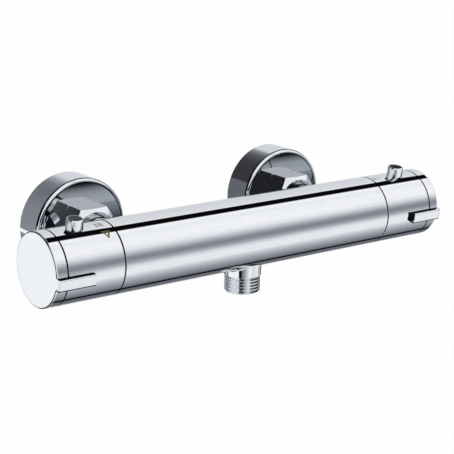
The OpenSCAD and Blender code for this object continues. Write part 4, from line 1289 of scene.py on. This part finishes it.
@dataclass
class Studio:
    """Pale floor, soft light and the white and dark cards that polished metal mirrors.

    The bar's cards are long strips that run beside it, so what a metal face mirrors depends on
    the angle of the mirrored ray round the bar: 0 is level and towards the viewer, 90 is straight
    up, -90 is straight down and 180 is level towards the wall. The side cards go by the compass:
    0 is to the right, 90 is towards the wall and 180 is to the left.
    """

    once: tuple[Card, ...] = (Card(inside=SIDE_CARDS), Card(inside=BAR_CARDS, edges=(LEAN,)))
    twice: tuple[Card, ...] = (Card(inside=AGAIN_SIDE_CARDS), Card(AGAIN_BAR_STOPS, (LEAN,), "turn"))
    twice_depth: float = 1.5
    cap_way: Triple = (-0.481, 0.824, -0.3015)
    slant_way: Triple = (-1.0, 0.0, 0.35)
    even_light: str = "#F4F5F6"
    even_strength: float = 0.75
    floor_z: float = -1250.0
    floor_half: float = 24000.0
    floor_steps: int = 9
    fibre_mm: float = 25.0
    paper: Stops = ((0.3, "#F1F1F1"), (0.7, "#F6F6F6"))
    paper_white: float = 0.97
    key_w: float = 2200.0
    key_power: float = 26.0
    key_place_m: Triple = (-0.7, -1.3, 1.5)
    key_turn_deg: Triple = (40.0, 0.0, -28.0)

    def world(self) -> None:
        """World: white to the camera, an even pale light on what is matte, and the cards to
        mirrored rays. Rays that lean to the right, as all that leave the bar do, see the strips
        beside it by their angle round the bar, with a dark card at their far end. The others see
        the sides of the studio by their compass angle, mostly pale at the level and darker above
        and below, and one bright card where an end cap looks. A ray that two metal faces have
        passed on sees the dimmer cards of a fitting that mirrors itself."""
        world = bpy.data.worlds.new("studio")
        bpy.context.scene.world = world
        world.use_nodes = True
        tree = world.node_tree
        tree.nodes.clear()
        way = add(tree, "TexCoord").outputs["Generated"]
        x, y, z = add(tree, "SeparateXYZ", (way,)).outputs
        front = add(tree, "Math", (y, -1.0), operation="MULTIPLY")
        parts = {
            "x": x, "y": y, "z": z,
            "turn": self.angle_share(tree, z, front),
            "compass": self.angle_share(tree, y, x),
            "slant": add(tree, "VectorMath", (way, self.slant_way), operation="DOT_PRODUCT"),
            "cap": add(tree, "VectorMath", (way, self.cap_way), operation="DOT_PRODUCT")}
        once, twice = self.hang(tree, parts, self.once), self.hang(tree, parts, self.twice)
        ray = add(tree, "LightPath").outputs
        again = add(tree, "Math", (ray["Glossy Depth"], self.twice_depth), operation="GREATER_THAN")
        mirrored = add(tree, "Background", (add(tree, "Mix", (again, once, twice), data_type="RGBA"), 1.0))
        even = add(tree, "Background", (linear(self.even_light), self.even_strength))
        plain = add(tree, "Background", (linear(WHITE), 1.0))
        lit = add(tree, "MixShader", (ray["Is Glossy Ray"], even, mirrored))
        direct = joined(tree, "MAXIMUM", (ray["Is Camera Ray"], ray["Is Transmission Ray"]))
        add(tree, "OutputWorld", {"Surface": add(tree, "MixShader", (direct, lit, plain))})

    def hang(self, tree: Tree, parts: dict[str, Any], cards: Sequence[Card]) -> Any:
        """Hangs cards one over another.

        Args:
            tree: The world's node tree.
            parts: The parts of the ray's direction by name, angles as shares of the turn.
            cards: The cards, of which the first has no edges.

        Returns:
            The node of what they show, or a plain colour.
        """
        shown: Any = None
        for card in cards:
            if card.inside:
                own = self.hang(tree, parts, card.inside)
            elif isinstance(card.colour, str):
                own = linear(card.colour)
            else:
                stops = [((angle + 180) / 360, code) for angle, code in card.colour]
                own = add(tree, "ValToRGB", (parts[card.by],), stops)
            if card.edges:
                rises = [self.rise(tree, parts[part], start, end) for part, start, end in card.edges]
                own = add(tree, "Mix", (joined(tree, "MULTIPLY", rises), shown, own), data_type="RGBA")
            shown = own
        return shown

    def rise(self, tree: Tree, value: Source, start: float, end: float) -> Node:
        """Goes from 0 at one value to 1 at another, higher or lower, and stays there.

        Args:
            tree: The world's node tree.
            value: What is measured.
            start: Where it leaves 0.
            end: Where it reaches 1.

        Returns:
            The node that gives the share.
        """
        ends = (start, end, 0.0, 1.0) if start < end else (end, start, 1.0, 0.0)
        return add(tree, "MapRange", (value, *ends))

    def angle_share(self, tree: Tree, sine: Source, cosine: Source) -> Node:
        """Angle of two parts of a direction, from -180 to 180 degrees, as a share of the turn.

        Args:
            tree: The world's node tree.
            sine: The part that is the sine.
            cosine: The part that is the cosine.

        Returns:
            The node that gives the share.
        """
        angle = add(tree, "Math", (sine, cosine), operation="ARCTAN2")
        return add(tree, "MapRange", (angle, -math.pi, math.pi))

    def floor(self) -> None:
        """Floor: a pale sheet that keeps the object's shadow."""
        flat = np.linspace(-self.floor_half, self.floor_half, self.floor_steps)
        x, y = np.meshgrid(flat, flat, indexing="ij")
        grid = np.stack([x, y, np.full_like(x, self.floor_z)], -1)
        sheet = surface("studio_floor", grid, wrap=(False, False))
        material = bpy.data.materials.new("matte_paper_floor")
        material.use_nodes = True
        tree = material.node_tree
        tree.nodes.clear()
        place = add(tree, "TexCoord").outputs["Object"]
        fibre = add(tree, "TexNoise", {"Vector": place, "Scale": 1.0 / (self.fibre_mm * MM)})
        paper = add(tree, "BsdfDiffuse", {"Color": add(tree, "ValToRGB", (fibre,), self.paper)})
        white = add(tree, "Emission", {"Color": linear(WHITE), "Strength": 1.0})
        seen = add(tree, "LightPath").outputs["Is Camera Ray"]
        share = add(tree, "Math", (seen, self.paper_white), operation="MULTIPLY")
        add(tree, "OutputMaterial", {"Surface": add(tree, "MixShader", (share, paper, white))})
        sheet.data.materials.append(material)
        sheet.visible_glossy = False

    def key_light(self) -> None:
        """Large soft lamp above and in front, which polished metal doesn't mirror."""
        lamp = bpy.data.lights.new("soft_key", "AREA")
        lamp.shape = "SQUARE"
        lamp.size = self.key_w * MM
        lamp.energy = self.key_power
        holder = link("soft_key", lamp)
        holder.location = self.key_place_m
        holder.rotation_euler = [math.radians(turn) for turn in self.key_turn_deg]
        holder.visible_glossy = False

    def build(self) -> None:
        """Builds the studio."""
        self.world()
        self.floor()
        self.key_light()
        bpy.context.scene.view_settings.view_transform = "Standard"


@dataclass
class Camera:
    """Camera at the photograph's place, in metres and radians of the frame."""

    place: Triple = (-0.4984, -0.6922, 0.2160)
    yaw: float = 0.6663
    pitch: float = 0.2711
    roll: float = 0.0307
    focal_px: float = 1431.45
    image_px: float = 454.0
    sensor_mm: float = 36.0
    clip: Pair = (0.01, 50.0)

    def build(self) -> None:
        """Builds the camera: it looks along (sin yaw cos pitch, cos yaw cos pitch, -sin pitch),
        and its right and up are turned by the roll."""
        level = math.cos(self.pitch)
        forward = np.array([math.sin(self.yaw) * level, math.cos(self.yaw) * level, -math.sin(self.pitch)])
        right = np.cross(forward, [0, 0, 1.0])
        right /= np.linalg.norm(right)
        up = np.cross(right, forward)
        turned = math.cos(self.roll) * right + math.sin(self.roll) * up
        above = -math.sin(self.roll) * right + math.cos(self.roll) * up
        data = bpy.data.cameras.new("view")
        data.sensor_width = self.sensor_mm
        data.lens = self.focal_px / self.image_px * self.sensor_mm
        data.clip_start, data.clip_end = self.clip
        holder = link("view", data)
        axes = np.stack([turned, above, -forward, self.place], 1)
        holder.matrix_world = Matrix(axes.tolist() + [[0, 0, 0, 1]])
        bpy.context.scene.camera = holder


def main() -> None:
    """Builds the studio and every sub-assembly."""
    Studio().build()
    Camera().build()
    wardrobe = Wardrobe(frame["record"])
    Bar(wardrobe).build()
    for side in Side:
        Inlet(wardrobe, side).build()
    Thermostat(wardrobe).build()
    FlowHeadwork(wardrobe).build()
    Handle(wardrobe, Side.HOT, pointer=((-104.2, 62.2), (-101.3, 46.8), (-98.7, 61.8))).build()
    Handle(wardrobe, Side.COLD, digits_text="0 1", digits_x=(97.3, 102.2), digits_at_deg=79.5).build()


if __name__ == "__main__":
    main()
